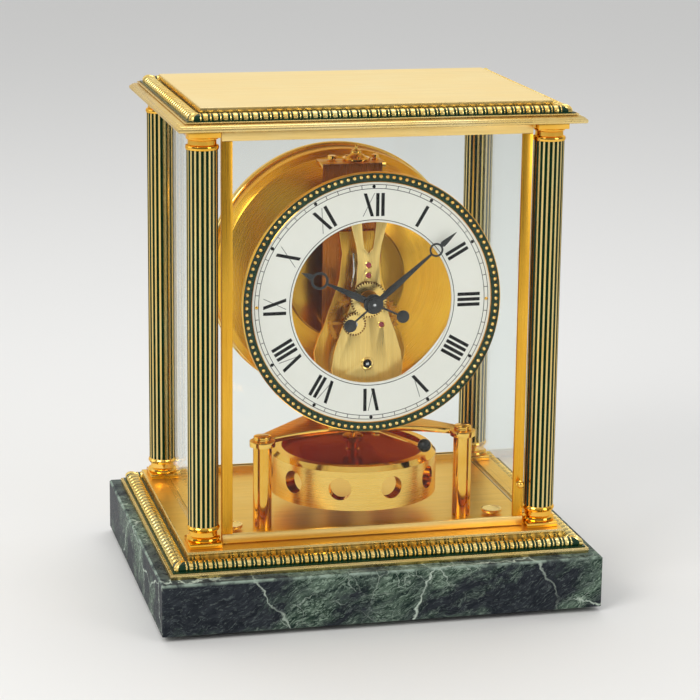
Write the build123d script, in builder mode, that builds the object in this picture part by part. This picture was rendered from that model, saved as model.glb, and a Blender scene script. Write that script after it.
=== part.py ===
from build123d import *
from math import atan2, cos, degrees, hypot, pi, radians, sin, sqrt
import os

# An atmospheric clock: a glazed gilt case on a marble slab, with its movement, bellows and torsion pendulum.
# Millimetres. X is to the right, Y to the back, Z up. The origin is under the middle of the clock.

os.makedirs("parts", exist_ok=True)


def write(piece, label):
    """Labels one finished piece and writes its file."""
    piece.label = label
    export_step(piece, f"parts/{label}.step")


# Clearances and the overrun of a cut

running_gap = 0.05
play = 0.3
overrun = 1.0

# Rods and bores too thin to look round are many-sided, which keeps the facets few

rod_sides = 12
disc_sides = 20

# Marble slab and feet

marble_width = 240.0
marble_depth = 194.0
marble_height = 28.2
marble_round = 1.6
foot_gap = 3.0

foot_radius = 9.0
levelling_pad_height = 1.5
levelling_screw_radius = 2.5
levelling_screw_x = 73.0
levelling_screw_y = -43.0
levelling_disc_radius = 5.65
levelling_disc_height = 1.7
levelling_lift = 1.3
rear_foot_inset = 25.0

# Gilt base frame, its enamel moulding and the base plate

step_width = 228.1
step_depth = 177.9
step_height = 3.0
plate_width = 206.6
plate_depth = 155.7
plate_thickness = 2.0
core_height = 5.8
core_wall = 14.0
moulding_lip = 1.2
moulding_flat = 0.5
ridge_radius = 2.7
base_ridge_centre = 2.0
base_inner_flat = 2.2
base_ridge_at = 4.7

# Columns

column_x = 92.7
column_y = 65.0
plinth_side = 17.0
plinth_height = 2.9
torus_radius = 8.5
torus_height = 2.9
neck_radius = 7.2
base_neck_height = 2.7
ring_radius = 8.6
ring_height = 2.2
shaft_radius = 8.15
flute_count = 20
flute_depth = 0.85
fillet_share = 0.13
flute_floor_share = 0.5
abacus_side = 17.0
abacus_height = 3.0
upper_ring_height = 1.4
upper_ring_radius = 8.2
capital_neck_height = 2.6
capital_neck_radius = 7.6

# Cornice and top

case_head_room = 24.9
slab_side_step = 4.55
slab_front_step = 4.5
slab_thickness = 2.2
slab_bevel = 0.6
tier_side_step = 9.35
tier_front_step = 12.5
tier_height = 2.5
tier_wall = 18.0
neck_inset = 1.0
neck_height = 2.7
cornice_lip = 0.4
cornice_ridge_radius = 2.6
cornice_ridge_centre = 1.0
cornice_inner_flat = 1.4
cornice_ridge_at = 4.7
top_width = 187.3
top_depth = 131.8
top_thickness = 3.0
top_bevel = 0.5

# Glass, rear rails and front door

side_glass_x = 92.0
side_glass_thickness = 3.0
groove_depth = 1.2
groove_gap = 0.1
rear_glass_y = 65.0
rear_glass_thickness = 3.0
rear_rail_thickness = 5.0
rear_rail_height = 3.4
door_front_y = -68.0
door_thickness = 4.0
door_half_width = 83.0
door_gap = 0.5
door_stile = 5.6
door_bottom_rail = 5.0
door_top_rail = 6.5
door_rabbet = 1.6
door_glass_thickness = 2.0
hinge_x = -80.8
hinge_pin_radius = 1.0
hinge_pin_reach = 3.5
hinge_pin_seat = 1.6
knob_x = 80.6
knob_z = 66.0
knob_radius = 1.9
knob_stem_radius = 0.9
knob_stem_length = 1.8
knob_head_length = 2.4
knob_taper = 12.0

# Platform under the movement

pillar_x = 56.0
pillar_y = -41.0
pillar_radius = 5.05
platform_top = 90.2
platform_thickness = 3.0
boss_radius = 7.0
screw_head_radius = 4.8
screw_head_height = 2.7
screw_slot = 1.1
screw_slot_depth = 1.2
platform_front_y = -23.0
platform_waist_y = 6.0
platform_waist_half = 22.0
platform_rear_y = 34.0
platform_rear_half = 20.0
staff_hole_radius = 4.0

# Movement plates: heights are above the platform, widths and heights along the outlines are shares

bridge_front_y = -47.5
bridge_thickness = 2.5
bridge_half_width = 19.5
bridge_drop = 63.3
bridge_rise = 49.2
bridge_shares = [(0.0, 0.615), (0.045, 0.72), (0.178, 0.974), (0.23, 1.0), (0.30, 0.95), (0.39, 0.795),
                 (0.46, 0.64), (0.56, 0.445), (0.64, 0.33), (0.74, 0.297), (0.82, 0.35), (0.93, 0.513),
                 (1.0, 0.615)]
notch_shares = [(1.0, 0.24), (0.86, 0.164), (0.807, 0.118), (0.785, 0.0)]
rear_plate_back_y = -27.0
rear_plate_thickness = 3.0
rear_plate_half_width = 25.4
rear_plate_rise = 33.7
rear_plate_shares = [(0.0, 0.56), (0.20, 0.60), (0.29, 0.90), (0.35, 0.972), (0.404, 1.0), (0.477, 0.906),
                     (0.522, 0.80), (0.603, 0.70), (0.693, 0.56), (0.765, 0.465), (0.892, 0.41), (1.0, 0.48)]
plate_foot_half_width = 17.0
plate_foot_back_y = -11.5
plate_foot_height = 3.0
back_plate_left = -20.3
back_plate_right = 12.0
back_plate_thickness = 2.0
back_plate_drop = 47.3
back_plate_rise = 69.7
post_radius = 1.8
low_post_x = 10.0
low_post_drop = 59.8
high_post_x = 8.6
high_post_rise = 45.7

# Dial, bezel and hands

dial_outer_radius = 65.1
dial_inner_radius = 43.7
dial_front_y = -57.0
dial_thickness = 1.5
bezel_outer_radius = 70.3
bezel_front_y = -58.2
bezel_back_y = -54.5
bezel_lip = 1.2
hour_hand_angle = 295.0
minute_hand_angle = 49.7
hour_hand_back_y = -58.7
minute_hand_back_y = -60.9
hand_thickness = 0.6
hour_hand_length = 43.1
hour_ring_at = 32.2
hour_ring_radius = 4.8
hour_ring_hole = 3.5
hour_tail_at = 18.0
hour_hub_radius = 5.3
hour_hub_height = 1.6
minute_hand_length = 58.0
minute_ring_at = 43.8
minute_ring_radius = 3.8
minute_ring_hole = 2.8
minute_tail_at = 16.9
minute_hub_radius = 4.0
minute_hub_height = 1.3
tail_disc_radius = 3.45
tail_half_width = 0.5
blade_half_width = 1.35
blade_wide_share = 0.25
blade_neck_half = 0.6
spear_half_width = 1.3
spear_wide_share = 0.25
tip_half_width = 0.15

# Wheels: arbors are placed from the centre of the dial, tooth counts give every ratio

hour_teeth = 32
minute_pinion_teeth = 20
minute_wheel_teeth = 45
cannon_teeth = 6
intermediate_wheel_teeth = 24
centre_pinion_teeth = 6
barrel_teeth = 30
intermediate_pinion_teeth = 6
centre_wheel_teeth = 24
escape_pinion_teeth = 6
escape_teeth = 15
minute_arbor_x = -7.6
minute_arbor_drop = 13.1
intermediate_arbor_x = 7.5
intermediate_arbor_drop = 14.1
barrel_arbor_drop = 35.4
escape_arbor_rise = 13.0
pallet_arbor_rise = 18.6
tooth_share = 0.38
addendum_share = 1.0
dedendum_share = 1.1
motion_wheel_y = -49.4
motion_wheel_width = 1.2
cannon_wheel_y = -44.4
cannon_wheel_width = 1.0
great_wheel_y = -42.3
great_wheel_width = 1.2
barrel_drum_radius = 17.0
barrel_drum_depth = 6.0
escape_wheel_y = -41.6
escape_wheel_width = 0.8
escape_radius = 4.3
escape_root_radius = 3.1
centre_wheel_y = -38.6
centre_wheel_width = 1.0
intermediate_wheel_y = -33.8
intermediate_wheel_width = 1.0
wheel_rim = 1.9
wheel_hub_radius = 2.4
spoke_count = 4
spoke_width = 1.6
arbor_radius = 0.85
pinion_overhang = 0.3
hour_pipe_radius = 1.7
jewel_radius = 1.9
jewel_height = 0.6
barrel_arbor_radius = 2.2
ratchet_teeth = 18
ratchet_radius = 6.0
ratchet_root_radius = 5.0
ratchet_y = -34.6
ratchet_width = 1.2
anchor_half_width = 6.1
anchor_shares = [(0.0, 0.31), (0.52, 0.20), (0.92, -0.16), (1.0, -0.59), (0.82, -0.64), (0.69, -0.21),
                 (0.39, -0.02), (0.0, -0.11)]
fork_front_y = -23.6
fork_thickness = 1.2
fork_head_radius = 1.9
fork_half_width = 0.9
fork_drop = 19.7
prong_half_gap = 0.75
prong_width = 0.5
prong_height = 1.4
prong_back_y = -20.15

# Bellows housing behind the movement

cover_lip = 1.7
cover_front_y = 31.0
cover_back_y = 38.0
housing_radius = 70.6
housing_shoulder_y = 19.0
housing_face_radius = 67.4
housing_face_y = 15.5
housing_boss_radius = 33.0
housing_boss_rise = 2.4
housing_boss_y = 2.0
housing_wall = 2.0
housing_floor_y = 19.6
bellows_radius = 56.0
bellows_groove = 6.0
bellows_folds = 2
plunger_radius = 3.0
plunger_head_radius = 9.0
plunger_head_thickness = 1.6
plunger_reach_y = -5.0
plunger_travel = 3.0
standoff_radius = 2.0
standoff_shares = [(-0.42, 0.76), (0.23, 0.76), (-0.42, -0.67)]
saddle_half_width = 18.0
saddle_height = 6.5
saddle_front_y = 20.0
saddle_back_y = 30.0

# Suspension and torsion pendulum

pendulum_y = -16.5
bracket_right = 14.6
bracket_depth = 16.0
bracket_thickness = 2.8
wire_hole_radius = 0.8
head_collar_radius = 7.6
head_collar_height = 1.8
head_cone_height = 2.2
head_cap_radius = 2.7
head_cap_height = 1.7
head_tip_radius = 0.8
head_tip_height = 3.3
regulator_x = 10.6
clamp_x = -13.4
spindle_radius = 1.3
spindle_height = 3.2
spindle_drop = 3.4
wire_radius = 0.25
ring_outer_radius = 46.0
ring_inner_radius = 39.5
ring_bottom = 54.0
ring_top = 78.0
ring_bevel = 1.5
web_thickness = 1.6
web_drop = 2.8
porthole_radius = 6.2
porthole_count = 10
porthole_z = 66.0
porthole_phase = 14.0
hub_radius = 5.8
hub_height = 8.8
staff_radius = 1.5
staff_top_drop = 9.3
roller_radius = 4.0
roller_thickness = 1.2
roller_drop = 17.3
roller_pin_radius = 0.4
roller_pin_at = 2.9
roller_pin_height = 3.0

# Locking lever under the platform

lever_pivot_x = 13.0
lever_pivot_y = -18.0
lever_stud_radius = 2.0
lever_stud_head_radius = 3.2
lever_stud_head_height = 1.3
lever_thickness = 2.2
lever_half_width = 1.5
lever_eye_radius = 4.2
lever_angle = -66.5
lever_length = 42.5
lever_ball_radius = 3.65
ball_chamfer_share = 0.55
claw_angle = 149.0
claw_length = 11.2

# Levels worked out from the sizes above

marble_top = foot_gap + marble_height
step_top = marble_top + step_height
core_top = step_top + core_height
plate_top = core_top + plate_thickness
dial_z = platform_top + saddle_height + housing_radius
cover_radius = housing_radius + cover_lip
case_height = dial_z + cover_radius + case_head_room - plate_top
slab_bottom = plate_top + case_height
slab_top = slab_bottom + slab_thickness
tier_top = slab_top + tier_height
neck_top = tier_top + neck_height
tier_width = top_width + 2 * tier_side_step
tier_depth = top_depth + 2 * tier_front_step
slab_width = tier_width + 2 * slab_side_step
slab_depth = tier_depth + 2 * slab_front_step
platform_bottom = platform_top - platform_thickness
bridge_bottom = dial_z - bridge_drop
bridge_top = dial_z + bridge_rise
rear_plate_top = dial_z + rear_plate_rise
back_plate_bottom = dial_z - back_plate_drop
back_plate_top = dial_z + back_plate_rise
low_post_z = dial_z - low_post_drop
high_post_z = dial_z + high_post_rise
fork_bottom = dial_z - fork_drop
staff_top = dial_z - staff_top_drop
roller_z = dial_z - roller_drop
rear_foot_y = marble_depth / 2 - rear_foot_inset
bridge_back_y = bridge_front_y + bridge_thickness
rear_plate_front_y = rear_plate_back_y - rear_plate_thickness
back_plate_y = rear_plate_back_y + back_plate_thickness
column_places = [(side * column_x, end * column_y) for side in (-1, 1) for end in (-1, 1)]


# Marble slab: rounded block with two clearance holes for the levelling screws

with BuildPart() as marble_base:
    with BuildSketch(Plane.XY.offset(foot_gap)):
        Rectangle(marble_width, marble_depth)
    extrude(amount=marble_height)
    chamfer(marble_base.edges().filter_by(Axis.Z), length=marble_round / 2)
    chamfer(marble_base.faces().sort_by(Axis.Z)[-1].edges(), length=marble_round / 2)
    with BuildSketch(Plane.XY.offset(foot_gap)):
        with Locations((-levelling_screw_x, levelling_screw_y), (levelling_screw_x, levelling_screw_y)):
            RegularPolygon(levelling_screw_radius + play + overrun, rod_sides)
    extrude(amount=marble_height, mode=Mode.SUBTRACT)
write(marble_base.part, "marble_base")

with BuildPart() as rear_foot:
    with BuildSketch(Plane.XY):
        with Locations((0, rear_foot_y)):
            RegularPolygon(foot_radius, disc_sides)
    extrude(amount=foot_gap)
write(rear_foot.part, "rear_foot")

# Levelling screws: a pad on the table, a spindle up through the slab and a finger disc above the base plate

for foot_name, foot_side in (("left", -1), ("right", 1)):
    disc_bottom = plate_top + levelling_lift
    with BuildPart() as levelling_foot:
        with BuildSketch(Plane.XY):
            with Locations((foot_side * levelling_screw_x, levelling_screw_y)):
                RegularPolygon(foot_radius, disc_sides)
        extrude(amount=levelling_pad_height)
        with BuildSketch(Plane.XY.offset(levelling_pad_height)):
            with Locations((foot_side * levelling_screw_x, levelling_screw_y)):
                RegularPolygon(levelling_screw_radius, rod_sides)
        extrude(amount=disc_bottom - levelling_pad_height)
        with BuildSketch(Plane.XY.offset(disc_bottom)):
            with Locations((foot_side * levelling_screw_x, levelling_screw_y)):
                RegularPolygon(levelling_disc_radius, disc_sides)
        extrude(amount=levelling_disc_height)
    write(levelling_foot.part, f"levelling_screw_{foot_name}")

# Base frame: a stepped gilt frame, open in the middle under the base plate

with BuildPart() as base_frame:
    with BuildSketch(Plane.XY.offset(marble_top)):
        Rectangle(step_width, step_depth)
    extrude(amount=step_height)
    with BuildSketch(Plane.XY.offset(step_top)):
        Rectangle(plate_width, plate_depth)
    extrude(amount=core_height)
    with BuildSketch(Plane.XY.offset(core_top)):
        Rectangle(plate_width - 2 * core_wall, plate_depth - 2 * core_wall)
    extrude(amount=-core_height, mode=Mode.SUBTRACT)
    with BuildSketch(Plane.XY.offset(marble_top)):
        with Locations((-levelling_screw_x, levelling_screw_y), (levelling_screw_x, levelling_screw_y)):
            RegularPolygon(levelling_screw_radius + play + overrun, rod_sides)
    extrude(amount=step_height, mode=Mode.SUBTRACT)
write(base_frame.part, "base_frame")


def moulding_frame(outer, inner, base_z, middle, flat, radius, rise, inner_flat):
    """A moulding between two rectangles: a low outer flat, a round mitred ridge and a higher inner flat."""
    half_width, half_depth = outer[0] / 2, outer[1] / 2
    outer_half = sqrt(radius**2 - (rise - flat) ** 2)
    inner_half = sqrt(radius**2 - (rise - inner_flat) ** 2)
    with BuildPart() as frame:
        with BuildSketch(Plane.XY.offset(base_z)):
            Rectangle(outer[0] - 2 * middle, outer[1] - 2 * middle)
            Rectangle(inner[0], inner[1], mode=Mode.SUBTRACT)
        extrude(amount=inner_flat)
        with BuildLine():
            Polyline((-half_width, -half_depth, base_z), (half_width, -half_depth, base_z),
                     (half_width, half_depth, base_z), (-half_width, half_depth, base_z), close=True)
        with BuildSketch(Plane(origin=(0, -half_depth, base_z), x_dir=(0, 1, 0), z_dir=(1, 0, 0))):
            with BuildLine():
                Polyline((0, 0), (0, flat), (middle - outer_half, flat))
                ThreePointArc((middle - outer_half, flat), (middle, rise + radius),
                              (middle + inner_half, inner_flat))
                Polyline((middle + inner_half, inner_flat), (middle + inner_half, 0), (0, 0))
            make_face()
        sweep(transition=Transition.RIGHT)
    return frame.part


base_moulding = moulding_frame((step_width - 2 * moulding_lip, step_depth - 2 * moulding_lip),
                               (plate_width, plate_depth), step_top, base_ridge_at, moulding_flat,
                               ridge_radius, base_ridge_centre, base_inner_flat)
write(base_moulding, "base_enamel_moulding")

# Base plate: brushed sheet, grooved for the side glasses and tapped for the levelling screws

with BuildPart() as base_plate:
    with BuildSketch(Plane.XY.offset(core_top)):
        Rectangle(plate_width, plate_depth)
    extrude(amount=plate_thickness)
    with BuildSketch(Plane.XY.offset(core_top)):
        with Locations((-levelling_screw_x, levelling_screw_y), (levelling_screw_x, levelling_screw_y)):
            RegularPolygon(levelling_screw_radius + running_gap, rod_sides, major_radius=False)
    extrude(amount=plate_thickness, mode=Mode.SUBTRACT)
    with BuildSketch(Plane.XY.offset(plate_top)):
        with Locations((-side_glass_x, 0), (side_glass_x, 0)):
            Rectangle(side_glass_thickness + 2 * groove_gap, 2 * (column_y - plinth_side / 2))
    extrude(amount=-groove_depth, mode=Mode.SUBTRACT)
    with BuildSketch(Plane.XY.offset(plate_top)):
        with Locations((hinge_x, door_front_y + door_thickness / 2)):
            RegularPolygon(hinge_pin_radius, rod_sides, major_radius=False)
    extrude(amount=-hinge_pin_seat, mode=Mode.SUBTRACT)
write(base_plate.part, "base_plate")

# Columns: turned bases and capitals, and shafts with flutes all round

torus_top = plate_top + plinth_height + torus_height
base_ring_bottom = torus_top + base_neck_height
shaft_bottom = base_ring_bottom + ring_height
capital_neck_top = slab_bottom - abacus_height - upper_ring_height
capital_ring_top = capital_neck_top - capital_neck_height
shaft_top = capital_ring_top - ring_height
flute_floor = shaft_radius - flute_depth
flute_rows = ((shaft_radius, -fillet_share), (shaft_radius, fillet_share), (flute_floor, flute_floor_share))
fluted = []
for flute in range(flute_count):
    for reach, share in flute_rows:
        turn = 2 * pi * (flute + share) / flute_count
        fluted.append((reach * cos(turn), reach * sin(turn)))

with BuildPart() as column_bases:
    with BuildSketch(Plane.XY.offset(plate_top)):
        with Locations(*column_places):
            Rectangle(plinth_side, plinth_side)
    extrude(amount=plinth_height)
    with BuildSketch(Plane.XY.offset(plate_top + plinth_height)):
        with Locations(*column_places):
            RegularPolygon(torus_radius, disc_sides)
    extrude(amount=torus_height, taper=degrees(atan2(torus_radius - neck_radius, torus_height)))
    with BuildSketch(Plane.XY.offset(torus_top)):
        with Locations(*column_places):
            RegularPolygon(neck_radius, disc_sides)
    extrude(amount=base_neck_height)
    with BuildSketch(Plane.XY.offset(base_ring_bottom)):
        with Locations(*column_places):
            RegularPolygon(ring_radius, disc_sides)
    extrude(amount=ring_height)
write(column_bases.part, "column_bases")

with BuildPart() as column_capitals:
    with BuildSketch(Plane.XY.offset(slab_bottom)):
        with Locations(*column_places):
            Rectangle(abacus_side, abacus_side)
    extrude(amount=-abacus_height)
    with BuildSketch(Plane.XY.offset(capital_neck_top)):
        with Locations(*column_places):
            RegularPolygon(upper_ring_radius, disc_sides)
    extrude(amount=upper_ring_height)
    with BuildSketch(Plane.XY.offset(capital_ring_top)):
        with Locations(*column_places):
            RegularPolygon(capital_neck_radius, disc_sides)
    extrude(amount=capital_neck_height)
    with BuildSketch(Plane.XY.offset(shaft_top)):
        with Locations(*column_places):
            RegularPolygon(ring_radius, disc_sides)
    extrude(amount=ring_height)
write(column_capitals.part, "column_capitals")

for shaft_name, (place_x, place_y) in zip(("front_left", "rear_left", "front_right", "rear_right"),
                                          column_places):
    with BuildPart() as column_shaft:
        with BuildSketch(Plane.XY.offset(shaft_bottom)):
            with Locations((place_x, place_y)):
                Polygon(*fluted, align=None)
        extrude(amount=shaft_top - shaft_bottom)
    write(column_shaft.part, f"column_shaft_{shaft_name}")

# Cornice: bevelled slab, a tier for the moulding and a recessed neck, all open in the middle

with BuildPart() as cornice_slab:
    with BuildSketch(Plane.XY.offset(slab_bottom)):
        Rectangle(slab_width, slab_depth)
    extrude(amount=slab_thickness)
    chamfer(cornice_slab.faces().sort_by(Axis.Z)[-1].edges(), length=slab_bevel)
    chamfer(cornice_slab.faces().sort_by(Axis.Z)[0].edges(), length=slab_bevel)
    with BuildSketch(Plane.XY.offset(slab_top)):
        Rectangle(tier_width, tier_depth)
    extrude(amount=tier_height)
    with BuildSketch(Plane.XY.offset(tier_top)):
        Rectangle(top_width - 2 * neck_inset, top_depth - 2 * neck_inset)
    extrude(amount=neck_height)
    with BuildSketch(Plane.XY.offset(neck_top)):
        Rectangle(top_width - 2 * tier_wall, top_depth - 2 * tier_wall)
    extrude(amount=-(neck_height + tier_height), mode=Mode.SUBTRACT)
    with BuildSketch(Plane.XY.offset(slab_bottom)):
        with Locations((-side_glass_x, 0), (side_glass_x, 0)):
            Rectangle(side_glass_thickness + 2 * groove_gap, 2 * (column_y - plinth_side / 2))
    extrude(amount=groove_depth, mode=Mode.SUBTRACT)
    with BuildSketch(Plane.XY.offset(slab_bottom)):
        with Locations((hinge_x, door_front_y + door_thickness / 2)):
            RegularPolygon(hinge_pin_radius, rod_sides, major_radius=False)
    extrude(amount=hinge_pin_seat, mode=Mode.SUBTRACT)
write(cornice_slab.part, "cornice_slab")

cornice_moulding = moulding_frame((tier_width - 2 * cornice_lip, tier_depth - 2 * cornice_lip),
                                  (top_width - 2 * neck_inset, top_depth - 2 * neck_inset), tier_top,
                                  cornice_ridge_at, moulding_flat, cornice_ridge_radius,
                                  cornice_ridge_centre, cornice_inner_flat)
write(cornice_moulding, "cornice_enamel_moulding")

with BuildPart() as top_plate:
    with BuildSketch(Plane.XY.offset(neck_top)):
        Rectangle(top_width, top_depth)
    extrude(amount=top_thickness)
    chamfer(top_plate.faces().sort_by(Axis.Z)[-1].edges(), length=top_bevel)
write(top_plate.part, "top_plate")

# Side and rear glass, and the rails that hold the rear glass

for glass_name, glass_side in (("left", -1), ("right", 1)):
    with BuildPart() as side_glass:
        with BuildSketch(Plane.XY.offset(plate_top - groove_depth + groove_gap)):
            with Locations((glass_side * side_glass_x, 0)):
                Rectangle(side_glass_thickness, 2 * (column_y - plinth_side / 2 - play))
        extrude(amount=case_height + 2 * (groove_depth - groove_gap))
    write(side_glass.part, f"{glass_name}_glass")

rear_half = column_x - plinth_side / 2 - play
with BuildPart() as rear_glass:
    with BuildSketch(Plane.XY.offset(plate_top + rear_rail_height / 2)):
        with Locations((0, rear_glass_y)):
            Rectangle(2 * rear_half, rear_glass_thickness)
    extrude(amount=case_height - rear_rail_height)
write(rear_glass.part, "rear_glass")

with BuildPart() as rear_rails:
    with BuildSketch(Plane.XY.offset(plate_top)):
        with Locations((0, rear_glass_y)):
            Rectangle(2 * rear_half, rear_rail_thickness)
    extrude(amount=rear_rail_height)
    with BuildSketch(Plane.XY.offset(slab_bottom)):
        with Locations((0, rear_glass_y)):
            Rectangle(2 * rear_half, rear_rail_thickness)
    extrude(amount=-rear_rail_height)
    with BuildSketch(Plane.XY.offset(plate_top + rear_rail_height / 2)):
        with Locations((0, rear_glass_y)):
            Rectangle(2 * (rear_half + overrun), rear_glass_thickness)
    extrude(amount=case_height - rear_rail_height, mode=Mode.SUBTRACT)
write(rear_rails.part, "rear_rails")

# Front door: rabbeted frame, glass and knob, on two pins let into the base plate and the cornice

door_back_y = door_front_y + door_thickness
door_middle_y = door_front_y + door_thickness / 2
door_bottom = plate_top + door_gap
door_top = slab_bottom - door_gap
door_middle_z = (door_bottom + door_top) / 2
opening_bottom = door_bottom + door_bottom_rail
opening_top = door_top - door_top_rail
opening_half = door_half_width - door_stile
glass_back_y = door_back_y

with BuildPart() as door_frame:
    with BuildSketch(Plane.XZ.offset(-door_back_y)):
        with Locations((0, door_middle_z)):
            Rectangle(2 * door_half_width, door_top - door_bottom)
        with Locations((0, (opening_bottom + opening_top) / 2)):
            Rectangle(2 * opening_half, opening_top - opening_bottom, mode=Mode.SUBTRACT)
    extrude(amount=door_thickness)
    with BuildSketch(Plane.XZ.offset(-door_back_y)):
        with Locations((0, (opening_bottom + opening_top) / 2)):
            Rectangle(2 * (opening_half + door_rabbet), opening_top - opening_bottom + 2 * door_rabbet)
    extrude(amount=door_glass_thickness, mode=Mode.SUBTRACT)
    with BuildSketch(Plane.XY.offset(door_bottom)):
        with Locations((hinge_x, door_middle_y)):
            RegularPolygon(hinge_pin_radius + running_gap, rod_sides, major_radius=False)
    extrude(amount=hinge_pin_reach, mode=Mode.SUBTRACT)
    with BuildSketch(Plane.XY.offset(door_top)):
        with Locations((hinge_x, door_middle_y)):
            RegularPolygon(hinge_pin_radius + running_gap, rod_sides, major_radius=False)
    extrude(amount=-hinge_pin_reach, mode=Mode.SUBTRACT)
write(door_frame.part, "door_frame")

with BuildPart() as door_glass:
    with BuildSketch(Plane.XZ.offset(-glass_back_y)):
        with Locations((0, (opening_bottom + opening_top) / 2)):
            Rectangle(2 * (opening_half + door_rabbet), opening_top - opening_bottom + 2 * door_rabbet)
    extrude(amount=door_glass_thickness)
write(door_glass.part, "door_glass")

with BuildPart() as door_knob:
    with BuildSketch(Plane.XZ.offset(-door_front_y)):
        with Locations((knob_x, knob_z)):
            RegularPolygon(knob_stem_radius, rod_sides)
    extrude(amount=knob_stem_length)
    with BuildSketch(Plane.XZ.offset(knob_stem_length - door_front_y)):
        with Locations((knob_x, knob_z)):
            RegularPolygon(knob_radius, disc_sides)
    extrude(amount=knob_head_length, taper=knob_taper)
write(door_knob.part, "door_knob")

with BuildPart() as hinge_pins:
    with BuildSketch(Plane.XY.offset(plate_top - hinge_pin_seat)):
        with Locations((hinge_x, door_middle_y)):
            Circle(hinge_pin_radius)
    extrude(amount=hinge_pin_seat + door_gap + hinge_pin_reach - play)
    with BuildSketch(Plane.XY.offset(slab_bottom + hinge_pin_seat)):
        with Locations((hinge_x, door_middle_y)):
            Circle(hinge_pin_radius)
    extrude(amount=-(hinge_pin_seat + door_gap + hinge_pin_reach - play))
write(hinge_pins.part, "door_hinge_pins")

# Pillars, slotted screws and the arched platform

with BuildPart() as platform_pillars:
    with BuildSketch(Plane.XY.offset(plate_top)):
        with Locations((-pillar_x, pillar_y), (pillar_x, pillar_y)):
            Circle(pillar_radius)
    extrude(amount=platform_bottom - plate_top)
write(platform_pillars.part, "platform_pillars")

with BuildPart() as pillar_screws:
    with BuildSketch(Plane.XY.offset(platform_top)):
        with Locations((-pillar_x, pillar_y), (pillar_x, pillar_y)):
            RegularPolygon(screw_head_radius, disc_sides)
    extrude(amount=screw_head_height)
    with BuildSketch(Plane.XY.offset(platform_top + screw_head_height)):
        with Locations((-pillar_x, pillar_y), (pillar_x, pillar_y)):
            Rectangle(2 * (screw_head_radius + overrun), screw_slot)
    extrude(amount=-screw_slot_depth, mode=Mode.SUBTRACT)
write(pillar_screws.part, "pillar_screws")

lever_stud_bottom = platform_bottom - play - lever_thickness - play
boss_corner = boss_radius * sin(radians(45))
with BuildPart() as support_platform:
    with BuildSketch(Plane.XY.offset(platform_bottom)):
        with BuildLine():
            ThreePointArc((-pillar_x, pillar_y), (0, platform_front_y), (pillar_x, pillar_y))
            Polyline((pillar_x, pillar_y), (pillar_x + boss_corner, pillar_y + boss_corner),
                     (platform_waist_half, platform_waist_y), (platform_rear_half, platform_rear_y),
                     (-platform_rear_half, platform_rear_y), (-platform_waist_half, platform_waist_y),
                     (-pillar_x - boss_corner, pillar_y + boss_corner), (-pillar_x, pillar_y))
        make_face()
        with Locations((-pillar_x, pillar_y), (pillar_x, pillar_y)):
            RegularPolygon(boss_radius, disc_sides)
        with Locations((0, pendulum_y)):
            RegularPolygon(staff_hole_radius, rod_sides, major_radius=False, mode=Mode.SUBTRACT)
    extrude(amount=platform_thickness)
    with BuildSketch(Plane.XY.offset(platform_bottom)):
        with Locations((lever_pivot_x, lever_pivot_y)):
            Circle(lever_stud_radius)
    extrude(amount=lever_stud_bottom - platform_bottom)
    with BuildSketch(Plane.XY.offset(lever_stud_bottom)):
        with Locations((lever_pivot_x, lever_pivot_y)):
            RegularPolygon(lever_stud_head_radius, disc_sides)
    extrude(amount=-lever_stud_head_height)
write(support_platform.part, "support_platform")

# Locking lever with its claw beside the pendulum staff, and the black ball on its end

lever_top = platform_bottom - play
ball_x = lever_pivot_x + lever_length * cos(radians(lever_angle))
ball_y = lever_pivot_y + lever_length * sin(radians(lever_angle))
ball_z = platform_bottom
with BuildPart() as lock_lever:
    lever_plane = Plane((lever_pivot_x, lever_pivot_y, lever_top - lever_thickness), x_dir=(1, 0, 0),
                        z_dir=(0, 0, 1))
    with BuildSketch(lever_plane):
        RegularPolygon(lever_eye_radius, disc_sides)
        with Locations(Location((0, 0), lever_angle)):
            Rectangle(lever_length - lever_ball_radius, 2 * lever_half_width,
                      align=(Align.MIN, Align.CENTER))
        with Locations(Location((0, 0), claw_angle)):
            Rectangle(claw_length, 2 * lever_half_width, align=(Align.MIN, Align.CENTER))
        RegularPolygon(lever_stud_radius + running_gap, rod_sides, major_radius=False, mode=Mode.SUBTRACT)
    extrude(amount=lever_thickness)
write(lock_lever.part, "lock_lever")

with BuildPart() as lever_ball:
    with BuildSketch(Plane.XY.offset(ball_z - lever_ball_radius)):
        with Locations((ball_x, ball_y)):
            RegularPolygon(lever_ball_radius, rod_sides)
    extrude(amount=2 * lever_ball_radius)
    chamfer(lever_ball.faces().group_by(Axis.Z)[-1].edges(), length=lever_ball_radius * ball_chamfer_share)
    chamfer(lever_ball.faces().group_by(Axis.Z)[0].edges(), length=lever_ball_radius * ball_chamfer_share)
write(lever_ball.part, "lever_ball")

# Movement plates: the rear plate stands on the platform, a tall back plate behind it reaches the suspension


def both_sides(shares, bottom, top, half_width):
    """Closed outline, symmetric about a vertical line, from height and half-width shares."""
    right = [(half_width * across, bottom + (top - bottom) * up) for up, across in shares]
    return right + [(-across, up) for across, up in reversed(right)]


escape_z = dial_z + escape_arbor_rise
pallet_z = dial_z + pallet_arbor_rise
intermediate_z = dial_z - intermediate_arbor_drop
minute_z = dial_z - minute_arbor_drop
barrel_z = dial_z - barrel_arbor_drop
jewel_places = [(0, pallet_z), (0, escape_z), (intermediate_arbor_x, intermediate_z)]
post_places = [(-low_post_x, low_post_z), (low_post_x, low_post_z), (-high_post_x, high_post_z),
               (high_post_x, high_post_z)]

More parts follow.
